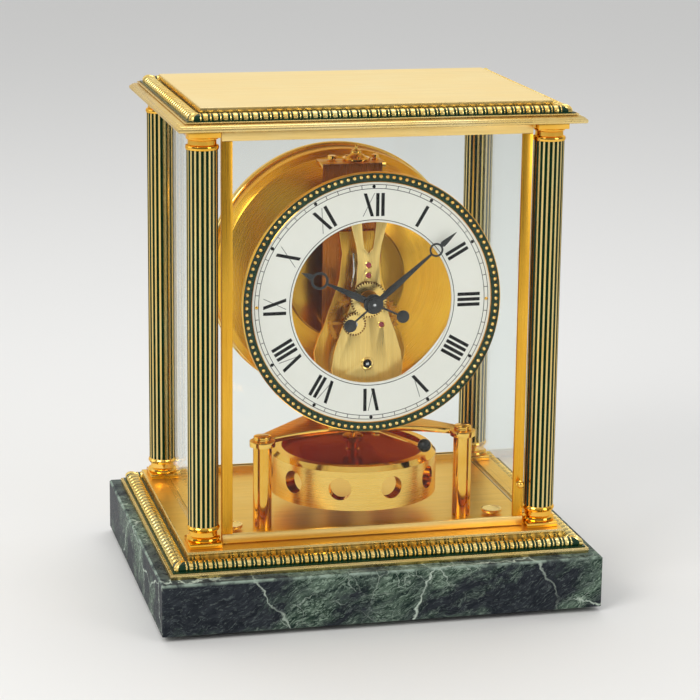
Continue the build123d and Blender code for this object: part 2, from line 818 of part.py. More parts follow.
with BuildPart() as rear_plate:
    with BuildSketch(Plane.XZ.offset(-rear_plate_back_y)):
        Polygon(*both_sides(rear_plate_shares, platform_top, rear_plate_top, rear_plate_half_width),
                align=None)
        with Locations((0, dial_z), (minute_arbor_x, minute_z), *jewel_places):
            RegularPolygon(arbor_radius + running_gap, rod_sides, major_radius=False, mode=Mode.SUBTRACT)
        with Locations((0, barrel_z)):
            RegularPolygon(barrel_arbor_radius + running_gap, rod_sides, major_radius=False,
                           mode=Mode.SUBTRACT)
    extrude(amount=rear_plate_thickness)
    with BuildSketch(Plane.XY.offset(platform_top)):
        with Locations((0, (rear_plate_front_y + plate_foot_back_y) / 2)):
            Rectangle(2 * plate_foot_half_width, plate_foot_back_y - rear_plate_front_y)
        with Locations((0, pendulum_y)):
            RegularPolygon(staff_hole_radius, rod_sides, major_radius=False, mode=Mode.SUBTRACT)
    extrude(amount=plate_foot_height)
write(rear_plate.part, "rear_movement_plate")

with BuildPart() as back_plate:
    with BuildSketch(Plane.XZ.offset(-back_plate_y)):
        with Locations(((back_plate_left + back_plate_right) / 2,
                        (back_plate_bottom + back_plate_top) / 2)):
            Rectangle(back_plate_right - back_plate_left, back_plate_top - back_plate_bottom)
        with Locations((0, pallet_z)):
            RegularPolygon(arbor_radius + running_gap, rod_sides, major_radius=False, mode=Mode.SUBTRACT)
    extrude(amount=back_plate_thickness)
write(back_plate.part, "tall_back_plate")

# Front bridge: forked plate with bored seats for its jewels, held off the rear plate by pillars

notch = both_sides(notch_shares, bridge_bottom, bridge_top, bridge_half_width)
with BuildPart() as front_bridge:
    with BuildSketch(Plane.XZ.offset(-bridge_back_y)):
        Polygon(*both_sides(bridge_shares, bridge_bottom, bridge_top, bridge_half_width), align=None)
        Polygon(*notch, align=None, mode=Mode.SUBTRACT)
        with Locations((0, dial_z), (minute_arbor_x, minute_z), *jewel_places):
            RegularPolygon(arbor_radius + running_gap, rod_sides, major_radius=False, mode=Mode.SUBTRACT)
        with Locations((0, barrel_z)):
            RegularPolygon(barrel_arbor_radius + running_gap, rod_sides, major_radius=False,
                           mode=Mode.SUBTRACT)
    extrude(amount=bridge_thickness)
write(front_bridge.part, "front_bridge")

with BuildPart() as bridge_jewels:
    with BuildSketch(Plane.XZ.offset(-bridge_front_y)):
        with Locations(*jewel_places):
            RegularPolygon(jewel_radius, rod_sides)
    extrude(amount=jewel_height)
write(bridge_jewels.part, "bridge_jewels")

dial_back_y = dial_front_y + dial_thickness
with BuildPart() as movement_pillars:
    with BuildSketch(Plane.XZ.offset(-rear_plate_front_y)):
        with Locations((-low_post_x, low_post_z), (low_post_x, low_post_z)):
            RegularPolygon(post_radius, rod_sides)
    extrude(amount=rear_plate_front_y - bridge_back_y)
    with BuildSketch(Plane.XZ.offset(-rear_plate_back_y)):
        with Locations((-high_post_x, high_post_z), (high_post_x, high_post_z)):
            RegularPolygon(post_radius, rod_sides)
    extrude(amount=rear_plate_back_y - bridge_back_y)
    with BuildSketch(Plane.XZ.offset(-bridge_front_y)):
        with Locations(*post_places):
            RegularPolygon(post_radius, rod_sides)
    extrude(amount=bridge_front_y - dial_back_y)
write(movement_pillars.part, "movement_pillars")

# Dial ring and its bezel

with BuildPart() as dial_ring:
    with BuildSketch(Plane.XZ.offset(-dial_back_y)):
        with Locations((0, dial_z)):
            Circle(dial_outer_radius)
            Circle(dial_inner_radius, mode=Mode.SUBTRACT)
    extrude(amount=dial_thickness)
write(dial_ring.part, "dial_ring")

with BuildPart() as dial_bezel:
    with BuildSketch(Plane((0, 0, dial_z), x_dir=(1, 0, 0), z_dir=(0, 0, 1))):
        with BuildLine():
            Polyline((dial_outer_radius, bezel_back_y), (dial_outer_radius, dial_front_y),
                     (dial_outer_radius + bezel_lip, bezel_front_y), (bezel_outer_radius, bezel_front_y),
                     (bezel_outer_radius, bezel_back_y), close=True)
        make_face()
    revolve(axis=Axis((0, 0, dial_z), (0, 1, 0)))
write(dial_bezel.part, "dial_bezel")

# Hands at the time the clock shows, each a blade, a ring, a point and a counterweight behind the hub


def hand_outline(length, ring_at, tail_at):
    """Right half of a hand from its tail to its tip, as distances across and along."""
    blade_wide = ring_at * blade_wide_share
    spear_wide = ring_at + (length - ring_at) * spear_wide_share
    right = [(tail_half_width, -tail_at), (tail_half_width, 0), (blade_half_width, blade_wide),
             (blade_neck_half, ring_at), (spear_half_width, spear_wide), (tip_half_width, length)]
    return right + [(-across, along) for across, along in reversed(right)]


hour_plane = Plane((0, hour_hand_back_y, dial_z),
                   x_dir=(cos(radians(hour_hand_angle)), 0, -sin(radians(hour_hand_angle))), z_dir=(0, -1, 0))
with BuildPart() as hour_hand:
    with BuildSketch(hour_plane):
        Polygon(*hand_outline(hour_hand_length, hour_ring_at, hour_tail_at), align=None)
        with Locations((0, hour_ring_at)):
            RegularPolygon(hour_ring_radius, disc_sides)
            RegularPolygon(hour_ring_hole, disc_sides, mode=Mode.SUBTRACT)
        with Locations((0, -hour_tail_at)):
            RegularPolygon(tail_disc_radius, disc_sides)
        RegularPolygon(hour_pipe_radius, rod_sides, major_radius=False, mode=Mode.SUBTRACT)
    extrude(amount=hand_thickness)
    with BuildSketch(hour_plane):
        RegularPolygon(hour_hub_radius, disc_sides)
        RegularPolygon(hour_pipe_radius, rod_sides, major_radius=False, mode=Mode.SUBTRACT)
    extrude(amount=hour_hub_height)
write(hour_hand.part, "hour_hand")

minute_plane = Plane((0, minute_hand_back_y, dial_z),
                     x_dir=(cos(radians(minute_hand_angle)), 0, -sin(radians(minute_hand_angle))),
                     z_dir=(0, -1, 0))
with BuildPart() as minute_hand:
    with BuildSketch(minute_plane):
        Polygon(*hand_outline(minute_hand_length, minute_ring_at, minute_tail_at), align=None)
        with Locations((0, minute_ring_at)):
            RegularPolygon(minute_ring_radius, disc_sides)
            RegularPolygon(minute_ring_hole, disc_sides, mode=Mode.SUBTRACT)
        with Locations((0, -minute_tail_at)):
            RegularPolygon(tail_disc_radius, disc_sides)
        RegularPolygon(arbor_radius, rod_sides, major_radius=False, mode=Mode.SUBTRACT)
    extrude(amount=hand_thickness)
    with BuildSketch(minute_plane):
        RegularPolygon(minute_hub_radius, disc_sides)
        RegularPolygon(arbor_radius, rod_sides, major_radius=False, mode=Mode.SUBTRACT)
    extrude(amount=minute_hub_height)
write(minute_hand.part, "minute_hand")

# Wheels: each has its teeth in mesh at rest


def toothed(teeth, radius, phase):
    """Outline of a wheel with pointed teeth, one of them centred on the phase angle in degrees."""
    module = 2 * radius / teeth
    tip_radius = radius + addendum_share * module
    root_radius = radius - dedendum_share * module
    pitch_half = pi * tooth_share / teeth
    root_half = pitch_half * (1 + dedendum_share / addendum_share)
    corners = []
    for tooth in range(teeth):
        middle = radians(phase) + 2 * pi * tooth / teeth
        for reach, turn in ((root_radius, -root_half), (tip_radius, 0), (root_radius, root_half)):
            corners.append((reach * cos(middle + turn), reach * sin(middle + turn)))
    return corners


def saw_toothed(teeth, tip_radius, root_radius):
    """Outline of a wheel with raked teeth."""
    corners = []
    for tooth in range(teeth):
        start = 2 * pi * tooth / teeth
        corners.append((tip_radius * cos(start), tip_radius * sin(start)))
        corners.append((root_radius * cos(start + pi / teeth * tooth_share),
                        root_radius * sin(start + pi / teeth * tooth_share)))
    return corners


def windows(rim_radius, bore_radius):
    """Four-sided windows between the arms of a wheel."""
    shapes = []
    for arm in range(spoke_count):
        middle = 2 * pi * (arm + 1 / 2) / spoke_count
        spread = pi / spoke_count
        outer = spread - spoke_width / 2 / rim_radius
        inner = spread - spoke_width / 2 / bore_radius
        corners = [(bore_radius, -inner), (rim_radius, -outer), (rim_radius, 0), (rim_radius, outer),
                   (bore_radius, inner)]
        shapes.append([(reach * cos(middle + turn), reach * sin(middle + turn)) for reach, turn in corners])
    return shapes


def mesh(x, z, teeth, other_x, other_z, other_teeth):
    """Pitch radius and direction, in degrees, of a wheel at x, z towards the wheel it drives."""
    distance = hypot(other_x - x, other_z - z)
    return distance * teeth / (teeth + other_teeth), degrees(atan2(other_z - z, other_x - x))


def gap_at(direction, teeth):
    """Phase that brings a gap between two teeth to the given direction."""
    return direction + 180 / teeth


hour_radius, hour_way = mesh(0, dial_z, hour_teeth, minute_arbor_x, minute_z, minute_pinion_teeth)
minute_pinion_radius, minute_pinion_way = mesh(minute_arbor_x, minute_z, minute_pinion_teeth, 0, dial_z,
                                               hour_teeth)
minute_wheel_radius, minute_way = mesh(minute_arbor_x, minute_z, minute_wheel_teeth, 0, dial_z,
                                       cannon_teeth)
cannon_radius, cannon_way = mesh(0, dial_z, cannon_teeth, minute_arbor_x, minute_z, minute_wheel_teeth)
barrel_radius, barrel_way = mesh(0, barrel_z, barrel_teeth, intermediate_arbor_x, intermediate_z,
                                 intermediate_pinion_teeth)
feed_radius, feed_way = mesh(intermediate_arbor_x, intermediate_z, intermediate_pinion_teeth, 0, barrel_z,
                             barrel_teeth)
middle_radius, middle_way = mesh(intermediate_arbor_x, intermediate_z, intermediate_wheel_teeth, 0, dial_z,
                                 centre_pinion_teeth)
drive_radius, drive_way = mesh(0, dial_z, centre_pinion_teeth, intermediate_arbor_x, intermediate_z,
                               intermediate_wheel_teeth)
centre_radius, centre_way = mesh(0, dial_z, centre_wheel_teeth, 0, escape_z, escape_pinion_teeth)
escape_pinion_radius, escape_way = mesh(0, escape_z, escape_pinion_teeth, 0, dial_z, centre_wheel_teeth)

arbor_front_y = bridge_front_y + play
arbor_back_y = rear_plate_back_y - play

with BuildPart() as hour_wheel:
    with BuildSketch(Plane.XZ.offset(-(motion_wheel_y + motion_wheel_width))):
        with Locations((0, dial_z)):
            Polygon(*toothed(hour_teeth, hour_radius, hour_way), align=None)
            RegularPolygon(arbor_radius + running_gap, rod_sides, major_radius=False, mode=Mode.SUBTRACT)
            for window in windows(hour_radius - wheel_rim, wheel_hub_radius):
                Polygon(*window, align=None, mode=Mode.SUBTRACT)
    extrude(amount=motion_wheel_width)
    with BuildSketch(Plane.XZ.offset(-motion_wheel_y)):
        with Locations((0, dial_z)):
            RegularPolygon(hour_pipe_radius, rod_sides)
            RegularPolygon(arbor_radius + running_gap, rod_sides, major_radius=False, mode=Mode.SUBTRACT)
    extrude(amount=motion_wheel_y - hour_hand_back_y + hour_hub_height)
write(hour_wheel.part, "hour_wheel")

with BuildPart() as minute_arbor:
    with BuildSketch(Plane.XZ.offset(-arbor_back_y)):
        with Locations((minute_arbor_x, minute_z)):
            Circle(arbor_radius)
    extrude(amount=arbor_back_y - motion_wheel_y)
    with BuildSketch(Plane.XZ.offset(-(motion_wheel_y + motion_wheel_width))):
        with Locations((minute_arbor_x, minute_z)):
            Polygon(*toothed(minute_pinion_teeth, minute_pinion_radius,
                             gap_at(minute_pinion_way, minute_pinion_teeth)), align=None)
    extrude(amount=motion_wheel_width)
write(minute_arbor.part, "minute_arbor")

with BuildPart() as minute_wheel:
    with BuildSketch(Plane.XZ.offset(-(cannon_wheel_y + cannon_wheel_width))):
        with Locations((minute_arbor_x, minute_z)):
            Polygon(*toothed(minute_wheel_teeth, minute_wheel_radius, minute_way), align=None)
            RegularPolygon(arbor_radius, rod_sides, major_radius=False, mode=Mode.SUBTRACT)
            for window in windows(minute_wheel_radius - wheel_rim, wheel_hub_radius):
                Polygon(*window, align=None, mode=Mode.SUBTRACT)
    extrude(amount=cannon_wheel_width)
write(minute_wheel.part, "minute_wheel")

with BuildPart() as centre_arbor:
    with BuildSketch(Plane.XZ.offset(-arbor_back_y)):
        with Locations((0, dial_z)):
            Circle(arbor_radius)
    extrude(amount=arbor_back_y - minute_hand_back_y + minute_hub_height)
    with BuildSketch(Plane.XZ.offset(-(cannon_wheel_y + cannon_wheel_width))):
        with Locations((0, dial_z)):
            Polygon(*toothed(cannon_teeth, cannon_radius, gap_at(cannon_way, cannon_teeth)), align=None)
    extrude(amount=cannon_wheel_width)
    with BuildSketch(Plane.XZ.offset(-(intermediate_wheel_y + intermediate_wheel_width + pinion_overhang))):
        with Locations((0, dial_z)):
            Polygon(*toothed(centre_pinion_teeth, drive_radius, gap_at(drive_way, centre_pinion_teeth)),
                    align=None)
    extrude(amount=intermediate_wheel_width + 2 * pinion_overhang)
write(centre_arbor.part, "centre_arbor")

with BuildPart() as centre_wheel:
    with BuildSketch(Plane.XZ.offset(-(centre_wheel_y + centre_wheel_width))):
        with Locations((0, dial_z)):
            Polygon(*toothed(centre_wheel_teeth, centre_radius, centre_way), align=None)
            RegularPolygon(arbor_radius, rod_sides, major_radius=False, mode=Mode.SUBTRACT)
            for window in windows(centre_radius - wheel_rim, wheel_hub_radius):
                Polygon(*window, align=None, mode=Mode.SUBTRACT)
    extrude(amount=centre_wheel_width)
write(centre_wheel.part, "centre_wheel")

with BuildPart() as intermediate_arbor:
    with BuildSketch(Plane.XZ.offset(-arbor_back_y)):
        with Locations((intermediate_arbor_x, intermediate_z)):
            Circle(arbor_radius)
    extrude(amount=arbor_back_y - arbor_front_y)
    with BuildSketch(Plane.XZ.offset(-(great_wheel_y + great_wheel_width + pinion_overhang))):
        with Locations((intermediate_arbor_x, intermediate_z)):
            Polygon(*toothed(intermediate_pinion_teeth, feed_radius,
                             gap_at(feed_way, intermediate_pinion_teeth)), align=None)
    extrude(amount=great_wheel_width + 2 * pinion_overhang)
write(intermediate_arbor.part, "intermediate_arbor")

with BuildPart() as intermediate_wheel:
    with BuildSketch(Plane.XZ.offset(-(intermediate_wheel_y + intermediate_wheel_width))):
        with Locations((intermediate_arbor_x, intermediate_z)):
            Polygon(*toothed(intermediate_wheel_teeth, middle_radius, middle_way), align=None)
            RegularPolygon(arbor_radius, rod_sides, major_radius=False, mode=Mode.SUBTRACT)
            for window in windows(middle_radius - wheel_rim, wheel_hub_radius):
                Polygon(*window, align=None, mode=Mode.SUBTRACT)
    extrude(amount=intermediate_wheel_width)
write(intermediate_wheel.part, "intermediate_wheel")

with BuildPart() as barrel:
    with BuildSketch(Plane.XZ.offset(-(great_wheel_y + great_wheel_width))):
        with Locations((0, barrel_z)):
            Polygon(*toothed(barrel_teeth, barrel_radius, barrel_way), align=None)
            RegularPolygon(barrel_arbor_radius + running_gap, rod_sides, major_radius=False,
                           mode=Mode.SUBTRACT)
    extrude(amount=great_wheel_width)
    with BuildSketch(Plane.XZ.offset(-(great_wheel_y + great_wheel_width))):
        with Locations((0, barrel_z)):
            RegularPolygon(barrel_drum_radius, disc_sides)
            RegularPolygon(barrel_arbor_radius + running_gap, rod_sides, major_radius=False,
                           mode=Mode.SUBTRACT)
    extrude(amount=-barrel_drum_depth)
write(barrel.part, "spring_barrel")

with BuildPart() as barrel_arbor:
    with BuildSketch(Plane.XZ.offset(-arbor_back_y)):
        with Locations((0, barrel_z)):
            Circle(barrel_arbor_radius)
    extrude(amount=arbor_back_y - bridge_front_y)
    with BuildSketch(Plane.XZ.offset(-(ratchet_y + ratchet_width))):
        with Locations((0, barrel_z)):
            Polygon(*saw_toothed(ratchet_teeth, ratchet_radius, ratchet_root_radius), align=None)
    extrude(amount=ratchet_width)
write(barrel_arbor.part, "barrel_arbor")

with BuildPart() as escape_wheel:
    with BuildSketch(Plane.XZ.offset(-arbor_back_y)):
        with Locations((0, escape_z)):
            Circle(arbor_radius)
    extrude(amount=arbor_back_y - arbor_front_y)
    with BuildSketch(Plane.XZ.offset(-(centre_wheel_y + centre_wheel_width + pinion_overhang))):
        with Locations((0, escape_z)):
            Polygon(*toothed(escape_pinion_teeth, escape_pinion_radius,
                             gap_at(escape_way, escape_pinion_teeth)), align=None)
    extrude(amount=centre_wheel_width + 2 * pinion_overhang)
    with BuildSketch(Plane.XZ.offset(-(escape_wheel_y + escape_wheel_width))):
        with Locations((0, escape_z)):
            Polygon(*saw_toothed(escape_teeth, escape_radius, escape_root_radius), align=None)
    extrude(amount=escape_wheel_width)
write(escape_wheel.part, "escape_wheel")

# Pallet lever: anchor over the escape wheel, arbor through both rear plates, fork down to the impulse pin

fork_back_y = fork_front_y + fork_thickness
anchor_half = [(anchor_half_width * across, anchor_half_width * up) for across, up in anchor_shares]
anchor = anchor_half + [(-across, up) for across, up in reversed(anchor_half[1:-1])]
with BuildPart() as pallet_lever:
    with BuildSketch(Plane.XZ.offset(-fork_back_y)):
        with Locations((0, pallet_z)):
            Circle(arbor_radius)
    extrude(amount=fork_back_y - arbor_front_y)
    with BuildSketch(Plane.XZ.offset(-(escape_wheel_y + escape_wheel_width))):
        with Locations((0, pallet_z)):
            Polygon(*anchor, align=None)
    extrude(amount=escape_wheel_width)
    with BuildSketch(Plane.XZ.offset(-fork_back_y)):
        with Locations((0, pallet_z)):
            RegularPolygon(fork_head_radius, rod_sides)
        with Locations((0, fork_bottom)):
            Rectangle(2 * fork_half_width, pallet_z - fork_bottom, align=(Align.CENTER, Align.MIN))
            Rectangle(2 * (prong_half_gap + prong_width), prong_height, align=(Align.CENTER, Align.MIN))
    extrude(amount=fork_thickness)
    with BuildSketch(Plane.XZ.offset(-prong_back_y)):
        with Locations((-prong_half_gap - prong_width / 2, fork_bottom),
                       (prong_half_gap + prong_width / 2, fork_bottom)):
            Rectangle(prong_width, prong_height, align=(Align.CENTER, Align.MIN))
    extrude(amount=prong_back_y - fork_back_y)
write(pallet_lever.part, "pallet_lever")

# Bellows housing, its rear cover, the bellows and the plunger it pushes

cone_y = housing_boss_y + housing_boss_rise
with BuildPart() as housing:
    with BuildSketch(Plane((0, 0, dial_z), x_dir=(1, 0, 0), z_dir=(0, 0, 1))):
        with BuildLine():
            Polyline((0, housing_boss_y), (housing_boss_radius, housing_boss_y),
                     (housing_boss_radius, cone_y),
                     (housing_face_radius, housing_face_y), (housing_radius, housing_shoulder_y),
                     (housing_radius, cover_front_y), (0, cover_front_y), close=True)
        make_face()
    revolve(axis=Axis((0, 0, dial_z), (0, 1, 0)))
    with BuildSketch(Plane.XZ.offset(-cover_front_y)):
        with Locations((0, dial_z)):
            RegularPolygon(housing_radius - housing_wall, disc_sides)
    extrude(amount=cover_front_y - housing_floor_y, mode=Mode.SUBTRACT)
    with BuildSketch(Plane.XZ.offset(-cover_front_y)):
        with Locations((0, dial_z)):
            RegularPolygon(plunger_radius + running_gap, rod_sides, major_radius=False)
    extrude(amount=cover_front_y - housing_boss_y, mode=Mode.SUBTRACT)
write(housing.part, "bellows_housing")

with BuildPart() as housing_cover:
    with BuildSketch(Plane.XZ.offset(-cover_back_y)):
        with Locations((0, dial_z)):
            Circle(cover_radius)
    extrude(amount=cover_back_y - cover_front_y)
write(housing_cover.part, "housing_rear_cover")

plunger_back_y = housing_floor_y + plunger_travel + plunger_head_thickness + play
bellows_front_y = plunger_back_y + play
fold = (cover_front_y - bellows_front_y) / (2 * bellows_folds - 1)
with BuildPart() as bellows:
    for leaf in range(2 * bellows_folds - 1):
        with BuildSketch(Plane.XZ.offset(-bellows_front_y - fold * leaf)):
            with Locations((0, dial_z)):
                RegularPolygon(bellows_radius - bellows_groove * (leaf % 2), disc_sides)
        extrude(amount=-fold)
write(bellows.part, "bellows")

with BuildPart() as plunger:
    with BuildSketch(Plane.XZ.offset(-plunger_back_y)):
        with Locations((0, dial_z)):
            RegularPolygon(plunger_head_radius, disc_sides)
    extrude(amount=plunger_head_thickness)
    with BuildSketch(Plane.XZ.offset(-plunger_back_y)):
        with Locations((0, dial_z)):
            RegularPolygon(plunger_radius, rod_sides)
    extrude(amount=plunger_back_y - plunger_reach_y)
write(plunger.part, "bellows_plunger")

# Supports of the housing: a saddle on the platform and distance posts to the tall back plate

with BuildPart() as housing_supports:
    with BuildSketch(Plane.XZ.offset(-saddle_back_y)):
        with Locations((0, platform_top)):
            Rectangle(2 * saddle_half_width, housing_radius / 2, align=(Align.CENTER, Align.MIN))
        with Locations((0, dial_z)):
            Circle(housing_radius, mode=Mode.SUBTRACT)
    extrude(amount=saddle_back_y - saddle_front_y)
    with BuildSketch(Plane.XZ.offset(-housing_boss_y)):
        with Locations(*[(housing_boss_radius * across, dial_z + housing_boss_radius * up)
                         for across, up in standoff_shares]):
            RegularPolygon(standoff_radius, rod_sides)
    extrude(amount=housing_boss_y - back_plate_y)
write(housing_supports.part, "housing_supports")

# Suspension: bracket on the tall back plate, collar and cap that clamp the wire, and its two side screws

bracket_bottom = back_plate_top - bracket_thickness
head_cap_bottom = back_plate_top + head_collar_height + head_cone_height
with BuildPart() as suspension_bracket:
    with BuildSketch(Plane.XY.offset(bracket_bottom)):
        with Locations(((back_plate_left + bracket_right) / 2, back_plate_y + bracket_depth / 2)):
            Rectangle(bracket_right - back_plate_left, bracket_depth)
        with Locations((0, pendulum_y)):
            RegularPolygon(wire_hole_radius, rod_sides, major_radius=False, mode=Mode.SUBTRACT)
        with Locations((clamp_x, pendulum_y), (regulator_x, pendulum_y)):
            RegularPolygon(spindle_radius, rod_sides, major_radius=False, mode=Mode.SUBTRACT)
    extrude(amount=bracket_thickness)
write(suspension_bracket.part, "suspension_bracket")

with BuildPart() as suspension_head:
    with BuildSketch(Plane.XY.offset(back_plate_top)):
        with Locations((0, pendulum_y)):
            RegularPolygon(head_collar_radius, disc_sides)
    extrude(amount=head_collar_height)
    with BuildSketch(Plane.XY.offset(back_plate_top + head_collar_height)):
        with Locations((0, pendulum_y)):
            RegularPolygon(head_collar_radius, disc_sides)
    extrude(amount=head_cone_height, taper=degrees(atan2(head_collar_radius - head_cap_radius,
                                                         head_cone_height)))
    with BuildSketch(Plane.XY.offset(head_cap_bottom)):
        with Locations((0, pendulum_y)):
            RegularPolygon(head_cap_radius, disc_sides)
    extrude(amount=head_cap_height)
    with BuildSketch(Plane.XY.offset(head_cap_bottom)):
        with Locations((0, pendulum_y)):
            RegularPolygon(head_tip_radius, rod_sides)
    extrude(amount=head_cap_height + head_tip_height)
write(suspension_head.part, "suspension_head")

with BuildPart() as suspension_screws:
    with BuildSketch(Plane.XY.offset(bracket_bottom - spindle_drop)):
        with Locations((clamp_x, pendulum_y), (regulator_x, pendulum_y)):
            RegularPolygon(spindle_radius, rod_sides)
    extrude(amount=spindle_drop + bracket_thickness + spindle_height)
write(suspension_screws.part, "suspension_screws")

with BuildPart() as suspension_wire:
    with BuildSketch(Plane.XY.offset(staff_top + play)):
        with Locations((0, pendulum_y)):
            RegularPolygon(wire_radius, rod_sides)
    extrude(amount=back_plate_top - staff_top - play)
write(suspension_wire.part, "suspension_wire")

# Torsion pendulum: bored ring with a sunk web, and a staff with a hub and the impulse roller

web_top = ring_top - web_drop
with BuildPart() as pendulum_ring:
    with BuildSketch(Plane((0, pendulum_y, 0), x_dir=(1, 0, 0), z_dir=(0, -1, 0))):
        with BuildLine():
            Polyline((0, web_top - web_thickness), (ring_inner_radius, web_top - web_thickness),
                     (ring_inner_radius, ring_bottom), (ring_outer_radius, ring_bottom),
                     (ring_outer_radius, ring_top - ring_bevel), (ring_outer_radius - ring_bevel, ring_top),
                     (ring_inner_radius, ring_top), (ring_inner_radius, web_top), (0, web_top), close=True)
        make_face()
    revolve(axis=Axis((0, pendulum_y, 0), (0, 0, 1)))
    for porthole in range(porthole_count):
        turn = radians(porthole_phase + 360 * porthole / porthole_count)
        port_plane = Plane((0, pendulum_y, porthole_z), x_dir=(cos(turn), sin(turn), 0),
                           z_dir=(sin(turn), -cos(turn), 0))
        with BuildSketch(port_plane.offset(ring_inner_radius - 2 * overrun)):
            RegularPolygon(porthole_radius, rod_sides)
        extrude(amount=ring_outer_radius - ring_inner_radius + 3 * overrun, mode=Mode.SUBTRACT)
write(pendulum_ring.part, "pendulum_ring")

with BuildPart() as pendulum_staff:
    with BuildSketch(Plane.XY.offset(web_top)):
        with Locations((0, pendulum_y)):
            RegularPolygon(hub_radius, disc_sides)
    extrude(amount=hub_height)
    with BuildSketch(Plane.XY.offset(web_top)):
        with Locations((0, pendulum_y)):
            RegularPolygon(staff_radius, rod_sides)
    extrude(amount=staff_top - web_top)
    with BuildSketch(Plane.XY.offset(roller_z)):
        with Locations((0, pendulum_y)):
            RegularPolygon(roller_radius, disc_sides)
    extrude(amount=roller_thickness)
    with BuildSketch(Plane.XY.offset(roller_z)):
        with Locations((0, pendulum_y - roller_pin_at)):
            RegularPolygon(roller_pin_radius, rod_sides)
    extrude(amount=-roller_pin_height)
write(pendulum_staff.part, "pendulum_staff")
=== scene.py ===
import math

import bmesh
import bpy
from mathutils import Matrix, Vector


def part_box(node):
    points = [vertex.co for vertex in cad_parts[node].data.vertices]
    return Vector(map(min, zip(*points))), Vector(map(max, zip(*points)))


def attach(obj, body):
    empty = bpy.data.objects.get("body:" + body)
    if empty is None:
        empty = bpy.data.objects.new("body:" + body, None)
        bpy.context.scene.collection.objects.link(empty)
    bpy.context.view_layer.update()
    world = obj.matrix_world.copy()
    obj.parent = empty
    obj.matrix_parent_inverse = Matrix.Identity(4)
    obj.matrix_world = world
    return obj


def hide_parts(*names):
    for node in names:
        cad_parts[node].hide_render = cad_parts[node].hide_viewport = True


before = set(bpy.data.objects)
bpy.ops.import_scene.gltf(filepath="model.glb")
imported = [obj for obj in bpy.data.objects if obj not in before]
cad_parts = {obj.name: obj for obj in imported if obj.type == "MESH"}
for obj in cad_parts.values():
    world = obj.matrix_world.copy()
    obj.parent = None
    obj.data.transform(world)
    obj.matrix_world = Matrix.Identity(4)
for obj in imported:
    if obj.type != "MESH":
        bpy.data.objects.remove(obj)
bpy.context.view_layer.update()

MM = 0.001
X, Y, Z = 0, 1, 2


# Places from the frame, in millimetres


def span(node):
    """Lowest and highest corner of a CAD node."""
    low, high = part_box(node)
    return Vector(low) / MM, Vector(high) / MM


def middle(node):
    low, high = span(node)
    return (low + high) / 2


dial_low, dial_high = span("dial_ring")
DIAL_Z = middle("dial_ring").z
DIAL_FRONT = dial_low.y
PENDULUM_Y = middle("pendulum_ring").y
PLATE_TOP = span("base_plate")[1].z


# Node helpers for the finishes

TOOL_MARKS = 2600.0
finishes = {}


def new_finish(name):
    """A new finish, kept under its name. Gives its node tree and its Principled shader."""
    finish = bpy.data.materials.new(name)
    finish.use_nodes = True
    finishes[name] = finish
    return finish.node_tree, finish.node_tree.nodes["Principled BSDF"]


def add(tree, kind, inputs=None, **settings):
    """A node of a kind, with its settings and its inputs, which are values or sockets to link."""
    node = tree.nodes.new("ShaderNode" + kind)
    for key, value in settings.items():
        setattr(node, key, value)
    for key, value in (inputs or {}).items():
        if isinstance(value, bpy.types.NodeSocket):
            tree.links.new(value, node.inputs[key])
        else:
            node.inputs[key].default_value = value
    return node


def sums(tree, first, second, operation="ADD"):
    """One step of arithmetic on two numbers or sockets."""
    return add(tree, "Math", {0: first, 1: second}, operation=operation).outputs[0]


def vectors(tree, operation, *terms):
    """One step of arithmetic on vectors, with the vector that it gives."""
    return add(tree, "VectorMath", dict(enumerate(terms)), operation=operation).outputs[0]


def component(tree, vector, axis):
    return add(tree, "SeparateXYZ", {0: vector}).outputs[axis]


def place(tree, scale=(1, 1, 1), shift=(0, 0, 0), turn=(0, 0, 0)):
    """Object coordinates in metres, shifted, turned by degrees and then stretched."""
    moved = vectors(tree, "SUBTRACT", add(tree, "TexCoord").outputs["Object"], tuple(shift))
    angles = tuple(math.radians(angle) for angle in turn)
    turned = add(tree, "Mapping", {"Vector": moved, "Rotation": angles}).outputs[0]
    return vectors(tree, "MULTIPLY", turned, tuple(scale))


def noise(tree, vector, scale, detail=3.0, rough=0.5):
    inputs = {"Vector": vector, "Scale": scale, "Detail": detail, "Roughness": rough}
    return add(tree, "TexNoise", inputs).outputs["Fac"]


def spread(tree, value, low, high, start=0.0, end=1.0):
    """A value from start to end mapped to low to high, and held there outside."""
    inputs = {"Value": value, "From Min": start, "From Max": end, "To Min": low, "To Max": high}
    return add(tree, "MapRange", inputs).outputs["Result"]


def opaque(paint):
    """A colour of red, green and blue with its alpha; a socket stays as it is."""
    return (*paint, 1.0) if isinstance(paint, tuple) else paint


def blend(tree, share, first, second):
    """Mix of two colours, which are values or sockets."""
    sides = {"Factor": share, 6: opaque(first), 7: opaque(second)}
    return add(tree, "Mix", sides, data_type="RGBA").outputs[2]


def darker(paint, share):
    return tuple(part * share for part in paint)


def lighter(paint, share):
    return tuple(part + (1 - part) * share for part in paint)


def bumped(tree, shader, height, distance):
    relief = add(tree, "Bump", {"Height": height, "Distance": distance})
    tree.links.new(relief.outputs["Normal"], shader.inputs["Normal"])


def metal(tree, shader, tone, gloss, relief, depth, pale, edge=0.45):
    """Links the colour, roughness and relief of a metal, whose edges mirror in a lighter tone."""
    tree.links.new(tone, shader.inputs["Base Color"])
    tree.links.new(gloss, shader.inputs["Roughness"])
    shader.inputs["Metallic"].default_value = 1.0
    shader.inputs["Specular Tint"].default_value = opaque(lighter(pale, edge))
    bumped(tree, shader, relief, depth)


